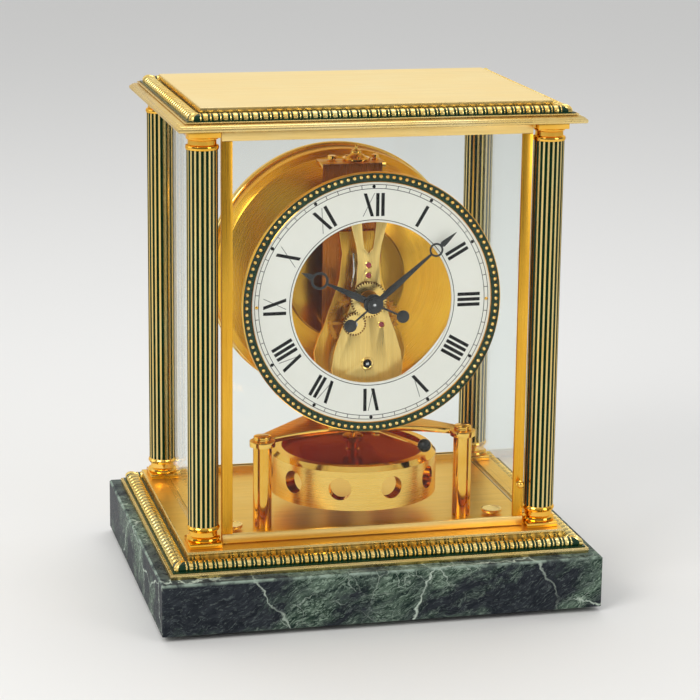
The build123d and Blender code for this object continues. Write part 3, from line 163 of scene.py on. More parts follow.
def polished(name, pale, deep, low=0.05, high=0.14):
    """Polished metal: a slow drift between two tones, rubbed patches and pin-sized pits."""
    tree, shader = new_finish(name)
    drift = noise(tree, place(tree), 30.0, 3.0, 0.55)
    rubbed = noise(tree, place(tree), 160.0, 4.0, 0.6)
    pits = noise(tree, place(tree), 1300.0, 2.0)
    tone = blend(tree, spread(tree, drift, 0.0, 1.0, 0.32, 0.68), pale, deep)
    worn = blend(tree, spread(tree, pits, 0.0, 0.5, 0.66, 0.76), tone, darker(deep, 0.5))
    metal(tree, shader, worn, spread(tree, rubbed, low, high, 0.3, 0.7), rubbed, 0.000012, pale)


def brushed(name, pale, deep, along, low=0.24, high=0.42, flat=None, lines=0.3):
    """Metal brushed along one axis. Where flat is an axis, only the faces square to it are brushed, and the
    edges round them are polished."""
    tree, shader = new_finish(name)
    stretch = [1.0, 1.0, 1.0]
    stretch[along] = 0.02
    streaks = noise(tree, place(tree, stretch), 1500.0, 3.0, 0.7)
    broad = noise(tree, place(tree, stretch), 260.0, 3.0, 0.6)
    drift = noise(tree, place(tree), 24.0, 3.0, 0.55)
    tone = blend(tree, spread(tree, drift, 0.0, 1.0, 0.3, 0.7), pale, deep)
    tone = blend(tree, spread(tree, broad, 0.0, lines, 0.35, 0.7), tone, darker(deep, 0.62))
    lined = blend(tree, spread(tree, streaks, 0.0, lines, 0.45, 0.75), tone, darker(deep, 0.5))
    gloss = spread(tree, streaks, low, high, 0.3, 0.7)
    relief = streaks
    if flat is not None:
        normal = component(tree, add(tree, "TexCoord").outputs["Normal"], flat)
        edge = spread(tree, sums(tree, normal, 0.0, "ABSOLUTE"), 1.0, 0.0, 0.75, 0.97)
        lined = blend(tree, edge, lined, pale)
        gloss = add(tree, "Mix", {"Factor": edge, 2: gloss, 3: 0.1}).outputs[0]
        relief = add(tree, "Mix", {"Factor": edge, 2: streaks, 3: 0.5}).outputs[0]
    metal(tree, shader, lined, gloss, relief, 0.000012, pale)


def turned(name, pale, deep, centre, axis, low=0.2, high=0.36, lines=0.25, edge=0.45):
    """Metal turned in a lathe: fine rings round an axis through centre."""
    tree, shader = new_finish(name)
    across = [1.0, 1.0, 1.0]
    across[axis] = 0.0
    radius = add(tree, "VectorMath", {0: place(tree, across, centre)}, operation="LENGTH").outputs["Value"]
    track = sums(tree, radius, component(tree, place(tree, shift=centre), axis))
    rings, bands = (add(tree, "TexNoise", {"W": track, "Scale": scale, "Detail": detail, "Roughness": rough},
                        noise_dimensions="1D").outputs["Fac"]
                    for scale, detail, rough in ((TOOL_MARKS, 3.0, 0.7), (TOOL_MARKS / 9, 2.0, 0.5)))
    drift = noise(tree, place(tree), 26.0, 3.0, 0.55)
    tone = blend(tree, spread(tree, drift, 0.0, 1.0, 0.3, 0.7), pale, deep)
    tone = blend(tree, spread(tree, bands, 0.0, lines, 0.4, 0.7), tone, darker(deep, 0.7))
    lined = blend(tree, spread(tree, rings, 0.0, lines, 0.4, 0.7), tone, darker(deep, 0.6))
    metal(tree, shader, lined, spread(tree, rings, low, high, 0.3, 0.7), rings, 0.00001, pale, edge)


def coated(name, dark, light, low, high, scale, coat=0.0, depth=0.00001, gloss=0.5):
    """Enamel, lacquer or plastic: two close colours, uneven gloss and a faint relief."""
    tree, shader = new_finish(name)
    clouds = noise(tree, place(tree), scale, 4.0, 0.6)
    fine = noise(tree, place(tree), scale * 14, 2.0, 0.6)
    tone = blend(tree, spread(tree, clouds, 0.0, 1.0, 0.3, 0.7), dark, light)
    tree.links.new(tone, shader.inputs["Base Color"])
    tree.links.new(spread(tree, fine, low, high, 0.3, 0.7), shader.inputs["Roughness"])
    shader.inputs["Specular IOR Level"].default_value = gloss
    shader.inputs["Coat Weight"].default_value = coat
    shader.inputs["Coat Roughness"].default_value = 0.08
    bumped(tree, shader, fine, depth)


def marble(name):
    """Polished dark stone: blue-black ground with combed pale fibres, green clouds and long white veins."""
    tree, shader = new_finish(name)
    slope = place(tree, turn=(8, 26, 12))
    drift = add(tree, "TexNoise", {"Vector": slope, "Scale": 12.0, "Detail": 6.0, "Roughness": 0.62})
    swept = vectors(tree, "MULTIPLY_ADD", drift.outputs["Color"], (0.035, 0.035, 0.035), slope)
    combed = vectors(tree, "MULTIPLY", swept, (0.22, 0.7, 1.0))
    fibres = noise(tree, combed, 1050.0, 3.0, 0.7)
    flecks = noise(tree, combed, 400.0, 5.0, 0.7)
    slanted = vectors(tree, "MULTIPLY", swept, (0.35, 0.8, 1.0))
    bands = noise(tree, slanted, 34.0, 7.0, 0.62)
    clouds = spread(tree, bands, 0.0, 1.0, 0.46, 0.58)
    dusted = spread(tree, flecks, 0.0, 1.0, 0.4, 0.64)
    ground = blend(tree, dusted, (0.017, 0.02, 0.026), (0.036, 0.042, 0.05))
    ground = blend(tree, spread(tree, fibres, 0.0, 0.6, 0.54, 0.66), ground, (0.125, 0.15, 0.145))
    green = blend(tree, spread(tree, flecks, 0.0, 1.0, 0.42, 0.6), (0.016, 0.034, 0.025), (0.12, 0.175, 0.13))
    green = blend(tree, spread(tree, fibres, 0.0, 0.8, 0.5, 0.62), green, (0.32, 0.42, 0.33))
    stone = blend(tree, sums(tree, clouds, 0.9, "MULTIPLY"), ground, green)
    breaks = spread(tree, noise(tree, swept, 26.0, 4.0), 0.0, 1.0, 0.36, 0.52)
    veins = None
    for scale, width, share in ((13.0, 0.0085, 1.0), (31.0, 0.012, 0.85), (70.0, 0.02, 0.6)):
        jagged = add(tree, "TexNoise", {"Vector": swept, "Scale": scale * 7, "Detail": 4.0}).outputs["Color"]
        shaken = vectors(tree, "MULTIPLY_ADD", jagged, (0.12 / scale,) * 3, swept)
        cells = add(tree, "TexVoronoi", {"Vector": shaken, "Scale": scale}, feature="DISTANCE_TO_EDGE")
        edge = spread(tree, cells.outputs["Distance"], share, 0.0, 0.0, width)
        line = sums(tree, edge, breaks, "MULTIPLY")
        veins = line if veins is None else sums(tree, veins, line, "MAXIMUM")
        gaps = spread(tree, noise(tree, swept, scale * 1.7, 3.0), 0.0, 1.0, 0.45, 0.6)
        breaks = sums(tree, gaps, clouds, "MULTIPLY")
    stone = blend(tree, veins, stone, (0.56, 0.65, 0.56))
    height = component(tree, place(tree), Z)
    top = span("marble_base")[1].z * MM
    facing_up = component(tree, add(tree, "TexCoord").outputs["Normal"], Z)
    patches = spread(tree, noise(tree, swept, 120.0, 4.0), 0.15, 1.0, 0.42, 0.58)
    # the top band of the sides, and faintly the top face, mixed towards pale grey-green in patches
    worn = sums(tree, spread(tree, height, 0.0, 0.85, top - 0.0018, top - 0.0005), patches, "MULTIPLY")
    worn = sums(tree, worn, spread(tree, facing_up, 1.0, 0.25, 0.8, 0.99), "MULTIPLY")
    stone = blend(tree, worn, stone, (0.33, 0.42, 0.35))
    tree.links.new(stone, shader.inputs["Base Color"])
    tree.links.new(spread(tree, flecks, 0.2, 0.4, 0.3, 0.7), shader.inputs["Roughness"])
    shader.inputs["Specular IOR Level"].default_value = 0.01
    bumped(tree, shader, flecks, 0.00002)


def clear(name):
    """Thin clear pane: what is behind shows through, and it mirrors more at a low angle."""
    tree, shader = new_finish(name)
    smears = noise(tree, place(tree), 45.0, 4.0, 0.6)
    edge = add(tree, "LayerWeight", {"Blend": 0.5}).outputs["Facing"]
    share = spread(tree, sums(tree, edge, 4.0, "POWER"), 0.012, 0.7)
    film = add(tree, "BsdfTransparent", {"Color": opaque((0.975, 0.985, 0.978))})
    shader.inputs["Base Color"].default_value = opaque((0.9, 0.93, 0.92))
    shader.inputs["Metallic"].default_value = 1.0
    tree.links.new(spread(tree, smears, 0.01, 0.05, 0.35, 0.7), shader.inputs["Roughness"])
    mixed = add(tree, "MixShader", {0: share, 1: film.outputs[0], 2: shader.outputs[0]})
    tree.links.new(mixed.outputs[0], tree.nodes["Material Output"].inputs["Surface"])
    bumped(tree, shader, smears, 0.00001)


PALE = (1.0, 0.77, 0.33)
GOLD = (0.98, 0.62, 0.14)
DEEP = (0.86, 0.44, 0.04)
DIAL_CENTRE = (0, 0, DIAL_Z * MM)
PENDULUM_AXIS = (0, PENDULUM_Y * MM, 0)

marble("dark_marble")
clear("clear_glass")
coated("black_feet", (0.02, 0.02, 0.02), (0.035, 0.035, 0.035), 0.5, 0.75, 300, depth=0.00004)
coated("green_enamel", (0.003, 0.024, 0.010), (0.007, 0.045, 0.019), 0.22, 0.36, 160, gloss=0.25)
coated("ruby", (0.28, 0.004, 0.02), (0.42, 0.012, 0.04), 0.05, 0.12, 800, 1.0)
coated("dial_white", (0.93, 0.92, 0.87), (0.96, 0.95, 0.905), 0.4, 0.55, 60, depth=0.000004)
coated("dial_ink", (0.006, 0.006, 0.007), (0.012, 0.012, 0.013), 0.35, 0.5, 400, gloss=0.1)
coated("black_hands", (0.008, 0.009, 0.012), (0.016, 0.018, 0.022), 0.32, 0.46, 500, 0.2)
coated("black_knob", (0.004, 0.004, 0.005), (0.01, 0.01, 0.011), 0.25, 0.35, 400, gloss=0.3)

polished("gilt_brass", GOLD, DEEP)
polished("satin_gilt", (0.84, 0.67, 0.32), (0.82, 0.58, 0.19), 0.22, 0.34)
polished("bead_gilt", (1.0, 0.82, 0.34), GOLD, 0.16, 0.3)
polished("disc_gilt", PALE, GOLD, 0.12, 0.24)
polished("wheel_gilt", PALE, GOLD, 0.16, 0.3)
polished("grained_gilt", PALE, GOLD, 0.42, 0.55)
# painted shade: dark red-brown for tooth flanks and for the discs behind the wheels
polished("painted_shade_brown", (0.3, 0.12, 0.02), (0.2, 0.07, 0.01), 0.3, 0.45)
# painted shade: wheels that sit in shade between the plates, darkened to amber
polished("painted_shade_amber", (0.56, 0.25, 0.035), (0.38, 0.14, 0.02), 0.24, 0.4)
polished("steel", (0.74, 0.74, 0.76), (0.6, 0.6, 0.62), 0.1, 0.22)

brushed("column_gilt", (0.82, 0.68, 0.31), (0.9, 0.62, 0.2), Z, 0.18, 0.32)
brushed("top_gilt", (1.0, 0.84, 0.47), (1.0, 0.8, 0.4), X, 0.3, 0.5, lines=0.12)
brushed("base_gilt", (1.0, 0.68, 0.2), (0.98, 0.62, 0.14), X, 0.28, 0.44, lines=0.2)
brushed("door_gilt", (0.92, 0.52, 0.06), DEEP, Z, 0.22, 0.38)
brushed("rail_gilt", (1.0, 0.76, 0.32), (1.0, 0.7, 0.24), X, 0.26, 0.42)
brushed("bridge_gilt", (1.0, 0.75, 0.28), (0.95, 0.64, 0.2), Z, 0.24, 0.4, flat=Y, lines=0.2)
brushed("plate_gilt", GOLD, DEEP, Z, 0.22, 0.38, flat=Y)
brushed("platform_gilt", GOLD, DEEP, X, 0.22, 0.38, flat=Z)
# painted shade and dark reflection: the tall back plate darkened to red-brown
brushed("painted_shade_plate", (0.5, 0.17, 0.025), (0.38, 0.11, 0.015), Z, 0.2, 0.32, lines=0.15)
brushed("bellows_brass", GOLD, DEEP, Y)

turned("housing_gilt", (1.0, 0.57, 0.06), (0.85, 0.4, 0.03), DIAL_CENTRE, Y, 0.2, 0.34, lines=0.12)
# painted dark reflection: the housing's polished boss darker than its shell
turned("painted_reflection_boss", (0.62, 0.36, 0.05), (0.5, 0.26, 0.03), DIAL_CENTRE, Y, 0.14, 0.26, lines=0.12)
turned("cover_gilt", PALE, GOLD, DIAL_CENTRE, Y, 0.1, 0.2, lines=0.1)
turned("ring_gilt", (1.0, 0.69, 0.2), GOLD, PENDULUM_AXIS, Z, 0.18, 0.34, lines=0.15)
# painted shade: dark red-brown with dimmed edges for the sunk pendulum web and the ring round the housing
# boss
turned("painted_shade_red", (0.46, 0.18, 0.028), (0.36, 0.125, 0.018), PENDULUM_AXIS, Z, 0.14, 0.24, lines=0.1,
       edge=0.05)

dressed = {
    "dark_marble": ("marble_base",), "black_feet": ("rear_foot",), "dial_white": ("dial_ring",),
    "satin_gilt": ("base_frame", "cornice_slab"), "base_gilt": ("base_plate",), "top_gilt": ("top_plate",),
    "rail_gilt": ("rear_rails",), "painted_shade_plate": ("tall_back_plate",), "bellows_brass": ("bellows",),
    "plate_gilt": ("housing_supports", "rear_movement_plate"),
    "platform_gilt": ("support_platform", "suspension_bracket"),
    "green_enamel": ("base_enamel_moulding", "cornice_enamel_moulding"),
    "clear_glass": ("left_glass", "right_glass", "rear_glass", "door_glass"),
    # wheels between the plates in the painted-shade finish
    "painted_shade_amber": ("centre_wheel", "intermediate_wheel", "escape_wheel", "minute_wheel"),
    "steel": ("centre_arbor", "intermediate_arbor", "barrel_arbor", "pallet_lever", "suspension_wire",
              "bellows_plunger", "door_hinge_pins"),
}
node_finish = {node: finish for finish, covered in dressed.items() for node in covered}
for name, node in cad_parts.items():
    node.data.materials.clear()
    node.data.materials.append(finishes[node_finish.get(name, "gilt_brass")])


# Form helpers. A form is a small bmesh in millimetres; a shape collects forms and becomes a piece


WELD = 0.0005
HERE = Matrix.Identity(4)


def points_of(made):
    """The vertices among what an operator made."""
    return [item for item in made if isinstance(item, bmesh.types.BMVert)]


def shown(name, data):
    """An object in the scene for a mesh, a light or a camera."""
    made = bpy.data.objects.new(name, data)
    bpy.context.scene.collection.objects.link(made)
    return made


def mesh_of(name, form):
    """A mesh of what a form holds; the form is done with."""
    mesh = bpy.data.meshes.new(name)
    form.to_mesh(mesh)
    form.free()
    return mesh


def put(shape, form, where=HERE, part=0):
    """Welds a form, gives it its finish and adds it to a shape at one place or several."""
    bmesh.ops.remove_doubles(form, verts=form.verts, dist=WELD)
    bmesh.ops.recalc_face_normals(form, faces=form.faces)
    if part is not None:
        for face in form.faces:
            face.material_index = part
    pattern = mesh_of("pattern", form)
    for spot in (where if isinstance(where, list) else [where]):
        pattern.transform(spot)
        shape.from_mesh(pattern)
        pattern.transform(spot.inverted())
    bpy.data.meshes.remove(pattern)


def piece(name, shape, body="case", parts=("gilt_brass",), covers=(), corner=35.0):
    """Turns a shape into a piece that rides on a body and stands for the nodes it covers."""
    bmesh.ops.scale(shape, vec=(MM, MM, MM), verts=shape.verts)
    mesh = mesh_of(name, shape)
    mesh.shade_smooth()
    mesh.set_sharp_from_angle(angle=math.radians(corner))
    made = shown(name, mesh)
    for part in parts:
        mesh.materials.append(finishes[part])
    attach(made, body)
    if covers:
        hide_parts(*covers)


def at(x, y, z):
    return Matrix.Translation((x, y, z))


def facing(x, y, z, turn=0.0):
    """Stands a form that lies on XY upright, facing the front, turned clockwise by degrees."""
    a = math.radians(turn)
    rows = Matrix(((math.cos(a), math.sin(a), 0), (0, 0, -1), (-math.sin(a), math.cos(a), 0)))
    return at(x, y, z) @ rows.to_4x4()


def eased(form, offset, corner=30.0, segments=2):
    """Rounds every edge of a form that is sharper than a corner angle."""
    bmesh.ops.remove_doubles(form, verts=form.verts, dist=WELD)
    bmesh.ops.recalc_face_normals(form, faces=form.faces)
    sharp = [edge for edge in form.edges
             if len(edge.link_faces) == 2 and edge.calc_face_angle() > math.radians(corner)]
    bmesh.ops.bevel(form, geom=sharp, offset=offset, affect="EDGES", segments=segments, profile=0.5,
                    material=-1, clamp_overlap=True)
    return form


def spun(profile, steps=48, closed=False):
    """A profile of (radius, height) points turned about Z."""
    form = bmesh.new()
    points = [form.verts.new((radius, 0, height)) for radius, height in profile]
    lines = [form.edges.new(pair) for pair in zip(points, points[1:] + (points[:1] if closed else []))]
    bmesh.ops.spin(form, geom=points + lines, cent=(0, 0, 0), axis=(0, 0, 1), angle=math.tau, steps=steps,
                   use_merge=True)
    return form


def tube(inner, outer, low, high, steps=48):
    """A ring between two radii and two heights, or a solid disc where the inner radius is 0."""
    return spun([(inner, low), (outer, low), (outer, high), (inner, high)], steps, inner > 0)


def thicken(form, faces, height):
    """Raises a copy of flat faces by a height, with walls round it."""
    made = bmesh.ops.extrude_face_region(form, geom=faces, use_keep_orig=True)["geom"]
    bmesh.ops.translate(form, vec=(0, 0, height), verts=points_of(made))


def slab(outline, height):
    """A flat outline raised by a height."""
    form = bmesh.new()
    thicken(form, [form.faces.new([form.verts.new((x, y, 0)) for x, y in outline])], height)
    return form


def block(low, high):
    """A box between two corners."""
    form = bmesh.new()
    low, high = Vector(low), Vector(high)
    made = bmesh.ops.create_cube(form, size=1.0)["verts"]
    bmesh.ops.scale(form, vec=high - low, verts=made)
    bmesh.ops.translate(form, vec=(low + high) / 2, verts=made)
    return form


def bead(along, across, up, rounds=10, rows=8):
    """An egg-shaped bead with its three half lengths."""
    form = bmesh.new()
    bmesh.ops.create_uvsphere(form, u_segments=rounds, v_segments=rows, radius=1.0)
    bmesh.ops.scale(form, vec=(along, across, up), verts=form.verts)
    return form


def circle(radius, steps=32, centre=(0, 0)):
    angles = [math.tau * k / steps for k in range(steps)]
    return [(centre[0] + radius * math.cos(angle), centre[1] + radius * math.sin(angle)) for angle in angles]


def rail(half_width, half_depth, profile):
    """A profile of (outward, height) points carried round a rectangle with mitred corners."""
    form = bmesh.new()
    line = [form.verts.new((-half_width - out, -half_depth - out, height)) for out, height in profile]
    edges = [form.edges.new(pair) for pair in zip(line, line[1:] + line[:1])]
    for mirror in ((-1, 1, 1), (1, -1, 1)) * 2:
        made = bmesh.ops.extrude_edge_only(form, edges=edges)["geom"]
        bmesh.ops.scale(form, vec=mirror, verts=points_of(made))
        edges = [item for item in made if isinstance(item, bmesh.types.BMEdge)]
    return form


def half_round(bottom, top, reach, sink=0.3, steps=6):
    """Profile of a rail whose outer side bulges by reach between two heights."""
    angles = [math.pi * k / steps for k in range(steps + 1)]
    tall = top - bottom
    bulge = [(reach * math.sin(angle), bottom + tall * (1 - math.cos(angle)) / 2) for angle in angles]
    return [(-sink, bottom)] + bulge + [(-sink, top)]


def toothed_ring(teeth, tip, root, bore, thick):
    """A flat ring with teeth round its rim, one of them half a pitch past the local X axis. Its tooth flanks
    take the second finish, darkened as painted shade.
    """
    form = bmesh.new()
    bmesh.ops.create_circle(form, segments=6 * teeth, radius=bore)
    made = bmesh.ops.extrude_edge_only(form, edges=list(form.edges))["geom"]
    for vert in points_of(made):
        share = (math.atan2(vert.co.y, vert.co.x) / math.tau * teeth) % 1.0
        reach = tip if 0.3 < share < 0.7 else root  # the middle third of each pitch is the tooth
        vert.co *= reach / bore
    thicken(form, list(form.faces), thick)
    bmesh.ops.recalc_face_normals(form, faces=form.faces)
    for face in form.faces:
        # flanks take the second finish: painted shade in the gaps between the teeth
        face.material_index = 0 if abs(face.normal.z) > 0.5 else 1
    return form


WHEEL_THICK = 1.2


def toothed_disc(shape, where, teeth, pitch_radius, bore, boss):
    """A toothed disc with a dark disc behind it as painted shadow, a turned boss on its front and its tooth
    flanks darkened as painted shade.
    """
    tip, root = pitch_radius + 0.5, pitch_radius - 0.7
    put(shape, toothed_ring(teeth, tip, root, bore, WHEEL_THICK), where, None)
    # dark disc behind the teeth, in the second finish: painted shadow on the bridge behind the wheel
    put(shape, tube(bore, tip + 0.1, 0.02, 0.12, 72), where, 1)
    put(shape, eased(tube(0, boss, 0, WHEEL_THICK + 0.35, 40), 0.15), where, 2)


# Columns: fluted shafts, turned bases and capitals

FLUTES = 20
FILLET = 0.44  # share of the pitch that stays between two flutes
FLUTE_DEPTH, GILT_DEPTH = 0.95, 0.17


def fluted_shaft(node):
    low, high = span(node)
    radius = (high.x - low.x) / 2
    form = bmesh.new()
    bmesh.ops.create_circle(form, segments=FLUTES * 10, radius=radius)
    for vert in form.verts:
        share = (math.atan2(vert.co.y, vert.co.x) / math.tau * FLUTES + FILLET / 2) % 1.0
        if share > FILLET:
            vert.co *= 1 - FLUTE_DEPTH / radius * math.sin(math.pi * (share - FILLET) / (1 - FILLET))
    raised = bmesh.ops.extrude_edge_only(form, edges=list(form.edges))["geom"]
    bmesh.ops.translate(form, vec=(0, 0, high.z - low.z), verts=points_of(raised))
    for face in form.faces:
        face.material_index = 0 if face.calc_center_median().xy.length > radius - GILT_DEPTH else 1
    bmesh.ops.holes_fill(form, edges=[edge for edge in form.edges if edge.is_boundary], sides=0)
    shape = bmesh.new()
    put(shape, form, at((low.x + high.x) / 2, (low.y + high.y) / 2, low.z), None)
    piece(node + "_fluted", shape, "case", ("column_gilt", "green_enamel"), (node,), 28.0)


shafts = [f"column_shaft_{corner}" for corner in ("front_left", "rear_left", "front_right", "rear_right")]
for node in shafts:
    fluted_shaft(node)


def on_columns(height):
    """The places on the axes of the four columns at a height."""
    return [at(*middle(node).xy, height) for node in shafts]


base_spots = on_columns(span("column_bases")[0].z)
base_profile = [(0, 2.9), (8.0, 2.9), (8.6, 3.2), (8.95, 4.0), (8.7, 4.9), (8.0, 5.4), (7.4, 5.7), (7.3, 6.3),
                (7.3, 8.2), (7.6, 8.5), (8.4, 8.8), (8.75, 9.7), (8.5, 10.7), (8.0, 11.2), (0, 11.2)]
bases = bmesh.new()
put(bases, spun(base_profile), base_spots)
put(bases, eased(block((-8.7, -8.7, 0), (8.7, 8.7, 2.9)), 0.4), base_spots)
piece("turned_column_bases", bases, covers=("column_bases",))

capital_low, capital_high = span("column_capitals")
capital_profile = [(0, -1.9), (7.9, -1.9), (8.5, -1.6), (8.8, -0.6), (8.5, 0.4), (7.8, 0.7), (7.45, 1.0),
                   (7.4, 3.2), (7.8, 3.5), (8.3, 3.8), (8.45, 4.4), (8.2, 5.0), (0, 5.0)]
capitals = bmesh.new()
put(capitals, spun(capital_profile), on_columns(capital_low.z))
put(capitals, eased(block((-8.4, -8.4, -4.3), (8.4, 8.4, 0)), 0.3), on_columns(capital_high.z))
piece("turned_column_capitals", capitals, covers=("column_capitals",))


# Gilt bands, wide and thin by turns, across the enamelled ridges, with a leaf over each mitre

RIDGE_AT = 4.7
LEAF_LONG, LEAF_HALF, LEAF_LIFT = 1.46, 2.0, 0.45


def bar(half, radius, lift):
    """A low rounded band round a ridge."""
    return spun([(radius - 0.15, -half), (radius + 0.7 * lift, -0.72 * half), (radius + lift, 0),
                 (radius + 0.7 * lift, 0.72 * half), (radius - 0.15, half)], 14)


def ribs(name, node, radius, wide, pitch, wide_half, thin_half, lift):
    """A ridge of enamel with bands across it, and a leaf over each of its mitres."""
    low, high = span(node)
    half_width, half_depth = high.x - RIDGE_AT, high.y - RIDGE_AT
    height = high.z - radius
    swell = wide / radius
    shape = bmesh.new()
    for turn, stretch, reach, side in (("Y", (1, swell, 1, 1), half_width, half_depth),
                                       ("X", (swell, 1, 1, 1), half_depth, half_width)):
        lying = Matrix.Rotation(math.pi / 2, 4, turn) @ Matrix.Diagonal(stretch)
        count = round(2 * (reach - radius) / pitch)
        step = 2 * (reach - radius) / count
        for half, offset, number in ((wide_half, 0.5, count), (thin_half, 0.0, count + 1)):
            along = [-reach + radius + step * (k + offset) for k in range(number)]
            marks = [(spot, off) if turn == "Y" else (off, spot) for off in (-side, side) for spot in along]
            put(shape, bar(half, radius, lift), [at(*mark, height) @ lying for mark in marks])
    corners = [at(x * half_width, y * half_depth, height) @ Matrix.Rotation(math.radians(45) * x * y, 4, "Z")
               for x in (-1, 1) for y in (-1, 1)]
    put(shape, bead(wide * LEAF_LONG, LEAF_HALF, radius + lift + LEAF_LIFT, 14, 10), corners)
    arch = [math.radians(angle) for angle in range(-45, 226, 15)]
    ridge = [(wide * math.cos(angle), height + radius * math.sin(angle)) for angle in arch]
    put(shape, rail(half_width, half_depth, ridge), HERE, 1)
    piece(name, shape, parts=("bead_gilt", "green_enamel"))


ribs("base_gilt_ribs", "base_enamel_moulding", 2.75, 3.6, 5.15, 1.2, 0.45, 0.25)
ribs("cornice_gilt_ribs", "cornice_enamel_moulding", 2.6, 3.2, 5.2, 1.35, 0.4, 0.35)


# Polished edges of the base step, base plate, cornice slab and top plate

edges = bmesh.new()
step_low, step_high = span("base_frame")
plate_low, plate_high = span("base_plate")
slab_low, slab_high = span("cornice_slab")
top_low, top_high = span("top_plate")
step_thick, slab_thick, slab_inset = 3.0, 2.2, 0.35
step_edge = half_round(step_low.z + 0.15, step_low.z + step_thick, 0.3)
put(edges, rail(step_high.x, step_high.y, step_edge))
put(edges, rail(plate_high.x, plate_high.y, half_round(plate_low.z, plate_high.z + 0.02, 0.35)))
put(edges, rail(slab_high.x - slab_inset, slab_high.y - slab_inset,
                half_round(slab_low.z - 0.02, slab_low.z + slab_thick + 0.02, 0.75, 0.4, 8)))
put(edges, rail(top_high.x, top_high.y, half_round(top_low.z, top_high.z - 0.3, 0.2)))
tier_low, tier_high = span("cornice_enamel_moulding")
tier_x, tier_y = tier_high.x + 1.2, tier_high.y + 1.2
ledge = slab_high.x - slab_inset - tier_x
slope = [(-0.4, 0), (ledge, 0), (ledge - 0.1, 0.25), (ledge * 0.75, 0.9), (ledge * 0.45, 1.35), (0.5, 1.6),
         (-0.4, 1.65)]
put(edges, rail(tier_x, tier_y, [(out, slab_low.z + slab_thick + rise) for out, rise in slope]))
put(edges, rail(tier_x, tier_y, half_round(tier_low.z - 0.5, tier_low.z + 0.08, 0.3)))
piece("polished_edges", edges, parts=("satin_gilt",))

seats = bmesh.new()
SEAT = 0.4
for glass, side in (("left_glass", 1), ("right_glass", -1)):
    glass_low, glass_high = span(glass)
    inner = glass_high.x if side > 0 else glass_low.x
    put(seats, block((min(inner, inner + side * SEAT), glass_low.y, PLATE_TOP - 0.3),
                     (max(inner, inner + side * SEAT), glass_high.y, PLATE_TOP + 0.03)))
piece("glass_seats", seats, "case", ("dial_ink",))


# Plates and levers with their outlines rounded


def smoothed(node, offset, finish, body="case"):
    """A copy of a CAD node, welded, with the edges of its outline rounded."""
    form = bmesh.new()
    form.from_mesh(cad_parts[node].data)
    bmesh.ops.scale(form, vec=(1 / MM, 1 / MM, 1 / MM), verts=form.verts)
    bmesh.ops.remove_doubles(form, verts=form.verts, dist=WELD)
    bmesh.ops.dissolve_limit(form, angle_limit=math.radians(1), verts=form.verts, edges=form.edges)
    shape = bmesh.new()
    put(shape, eased(form, offset, 40.0))
    piece("smooth_" + node, shape, body, (finish,), (node,), 40.0)


smoothed("support_platform", 0.45, "platform_gilt")
smoothed("front_bridge", 0.3, "bridge_gilt")
smoothed("rear_movement_plate", 0.3, "plate_gilt")
smoothed("lock_lever", 0.25, "platform_gilt", body="locking_lever")
smoothed("suspension_bracket", 0.3, "platform_gilt")


# Front door: brushed frame of two rails and two stiles, butt jointed, and its turned knob

door_low, door_high = span("door_frame")
STILE, BOTTOM_RAIL, TOP_RAIL, RABBET, GLASS_THICK = 5.6, 5.0, 6.5, 1.6, 2.0
JOINT = 0.07
inner_low = Vector((door_low.x + STILE, 0, door_low.z + BOTTOM_RAIL))
inner_high = Vector((door_high.x - STILE, 0, door_high.z - TOP_RAIL))
glass_front = door_high.y - GLASS_THICK
frame_bars = bmesh.new()


def bars_round(low, high, gap, front, rear):
    """The door's two rails and two stiles round an opening, between two depths."""
    for low_x, low_z, high_x, high_z in (
            (door_low.x, door_low.z, door_high.x, low.z - gap),
            (door_low.x, high.z + gap, door_high.x, door_high.z),
            (door_low.x, low.z, low.x, high.z), (high.x, low.z, door_high.x, high.z)):
        yield block((low_x, front, low_z), (high_x, rear, high_z))


for bar_form, part in zip(bars_round(inner_low, inner_high, JOINT, door_low.y, glass_front), (1, 1, 0, 0)):
    put(frame_bars, eased(bar_form, 0.22), HERE, part)
rabbet = Vector((RABBET, 0, RABBET))
for bar_form in bars_round(inner_low - rabbet, inner_high + rabbet, 0, glass_front - 0.3, door_high.y):
    put(frame_bars, bar_form)
piece("brushed_door_frame", frame_bars, "door", ("door_gilt", "rail_gilt"), ("door_frame",))

knob = bmesh.new()
knob_middle = middle("door_knob")
knob_place = facing(knob_middle.x, span("door_knob")[1].y, knob_middle.z)
knob_profile = [(0, 0), (1.7, 0), (1.7, 0.25), (1.2, 0.45), (0.85, 0.7), (0.85, 1.5), (1.25, 1.8),
                (1.75, 2.35), (1.9, 3.0), (1.75, 3.6), (1.3, 4.0), (0.7, 4.18), (0, 4.2)]
put(knob, spun(knob_profile, 40), knob_place)
piece("turned_door_knob", knob, "door", covers=("door_knob",))


# Dial: printed numerals and minute track, gilt screws, and the beaded enamel bezel

NUMERALS = ("I", "II", "III", "IIII", "V", "VI", "VII", "VIII", "IX", "X", "XI", "XII")
ADVANCE = {"I": 2.85, "V": 6.9, "X": 7.1}
LETTER_GAP = 1.15
FOOT, HEAD, THICK, HAIR, FILM = 46.75, 59.05, 1.8, 0.28, 0.05
TRACK_INNER, TRACK_OUTER = 61.55, 63.65
LINE = 0.31
STROKES = {
    "I": ((0.85, FOOT, 0.85, THICK),),
    "V": ((3.55, FOOT, 0.85, THICK), (3.6, FOOT + 1.6, 5.9, HAIR)),
    "X": ((5.1, FOOT, 1.15, THICK), (0.1, FOOT, 6.2, HAIR)),
}
ink = bmesh.new()


def stroke(start, end, width, where):
    """A printed stroke whose ends are cut level."""
    corners = [(x + side * width / 2, y) for (x, y), side in ((start, -1), (start, 1), (end, 1), (end, -1))]
    put(ink, slab(corners, FILM), where)


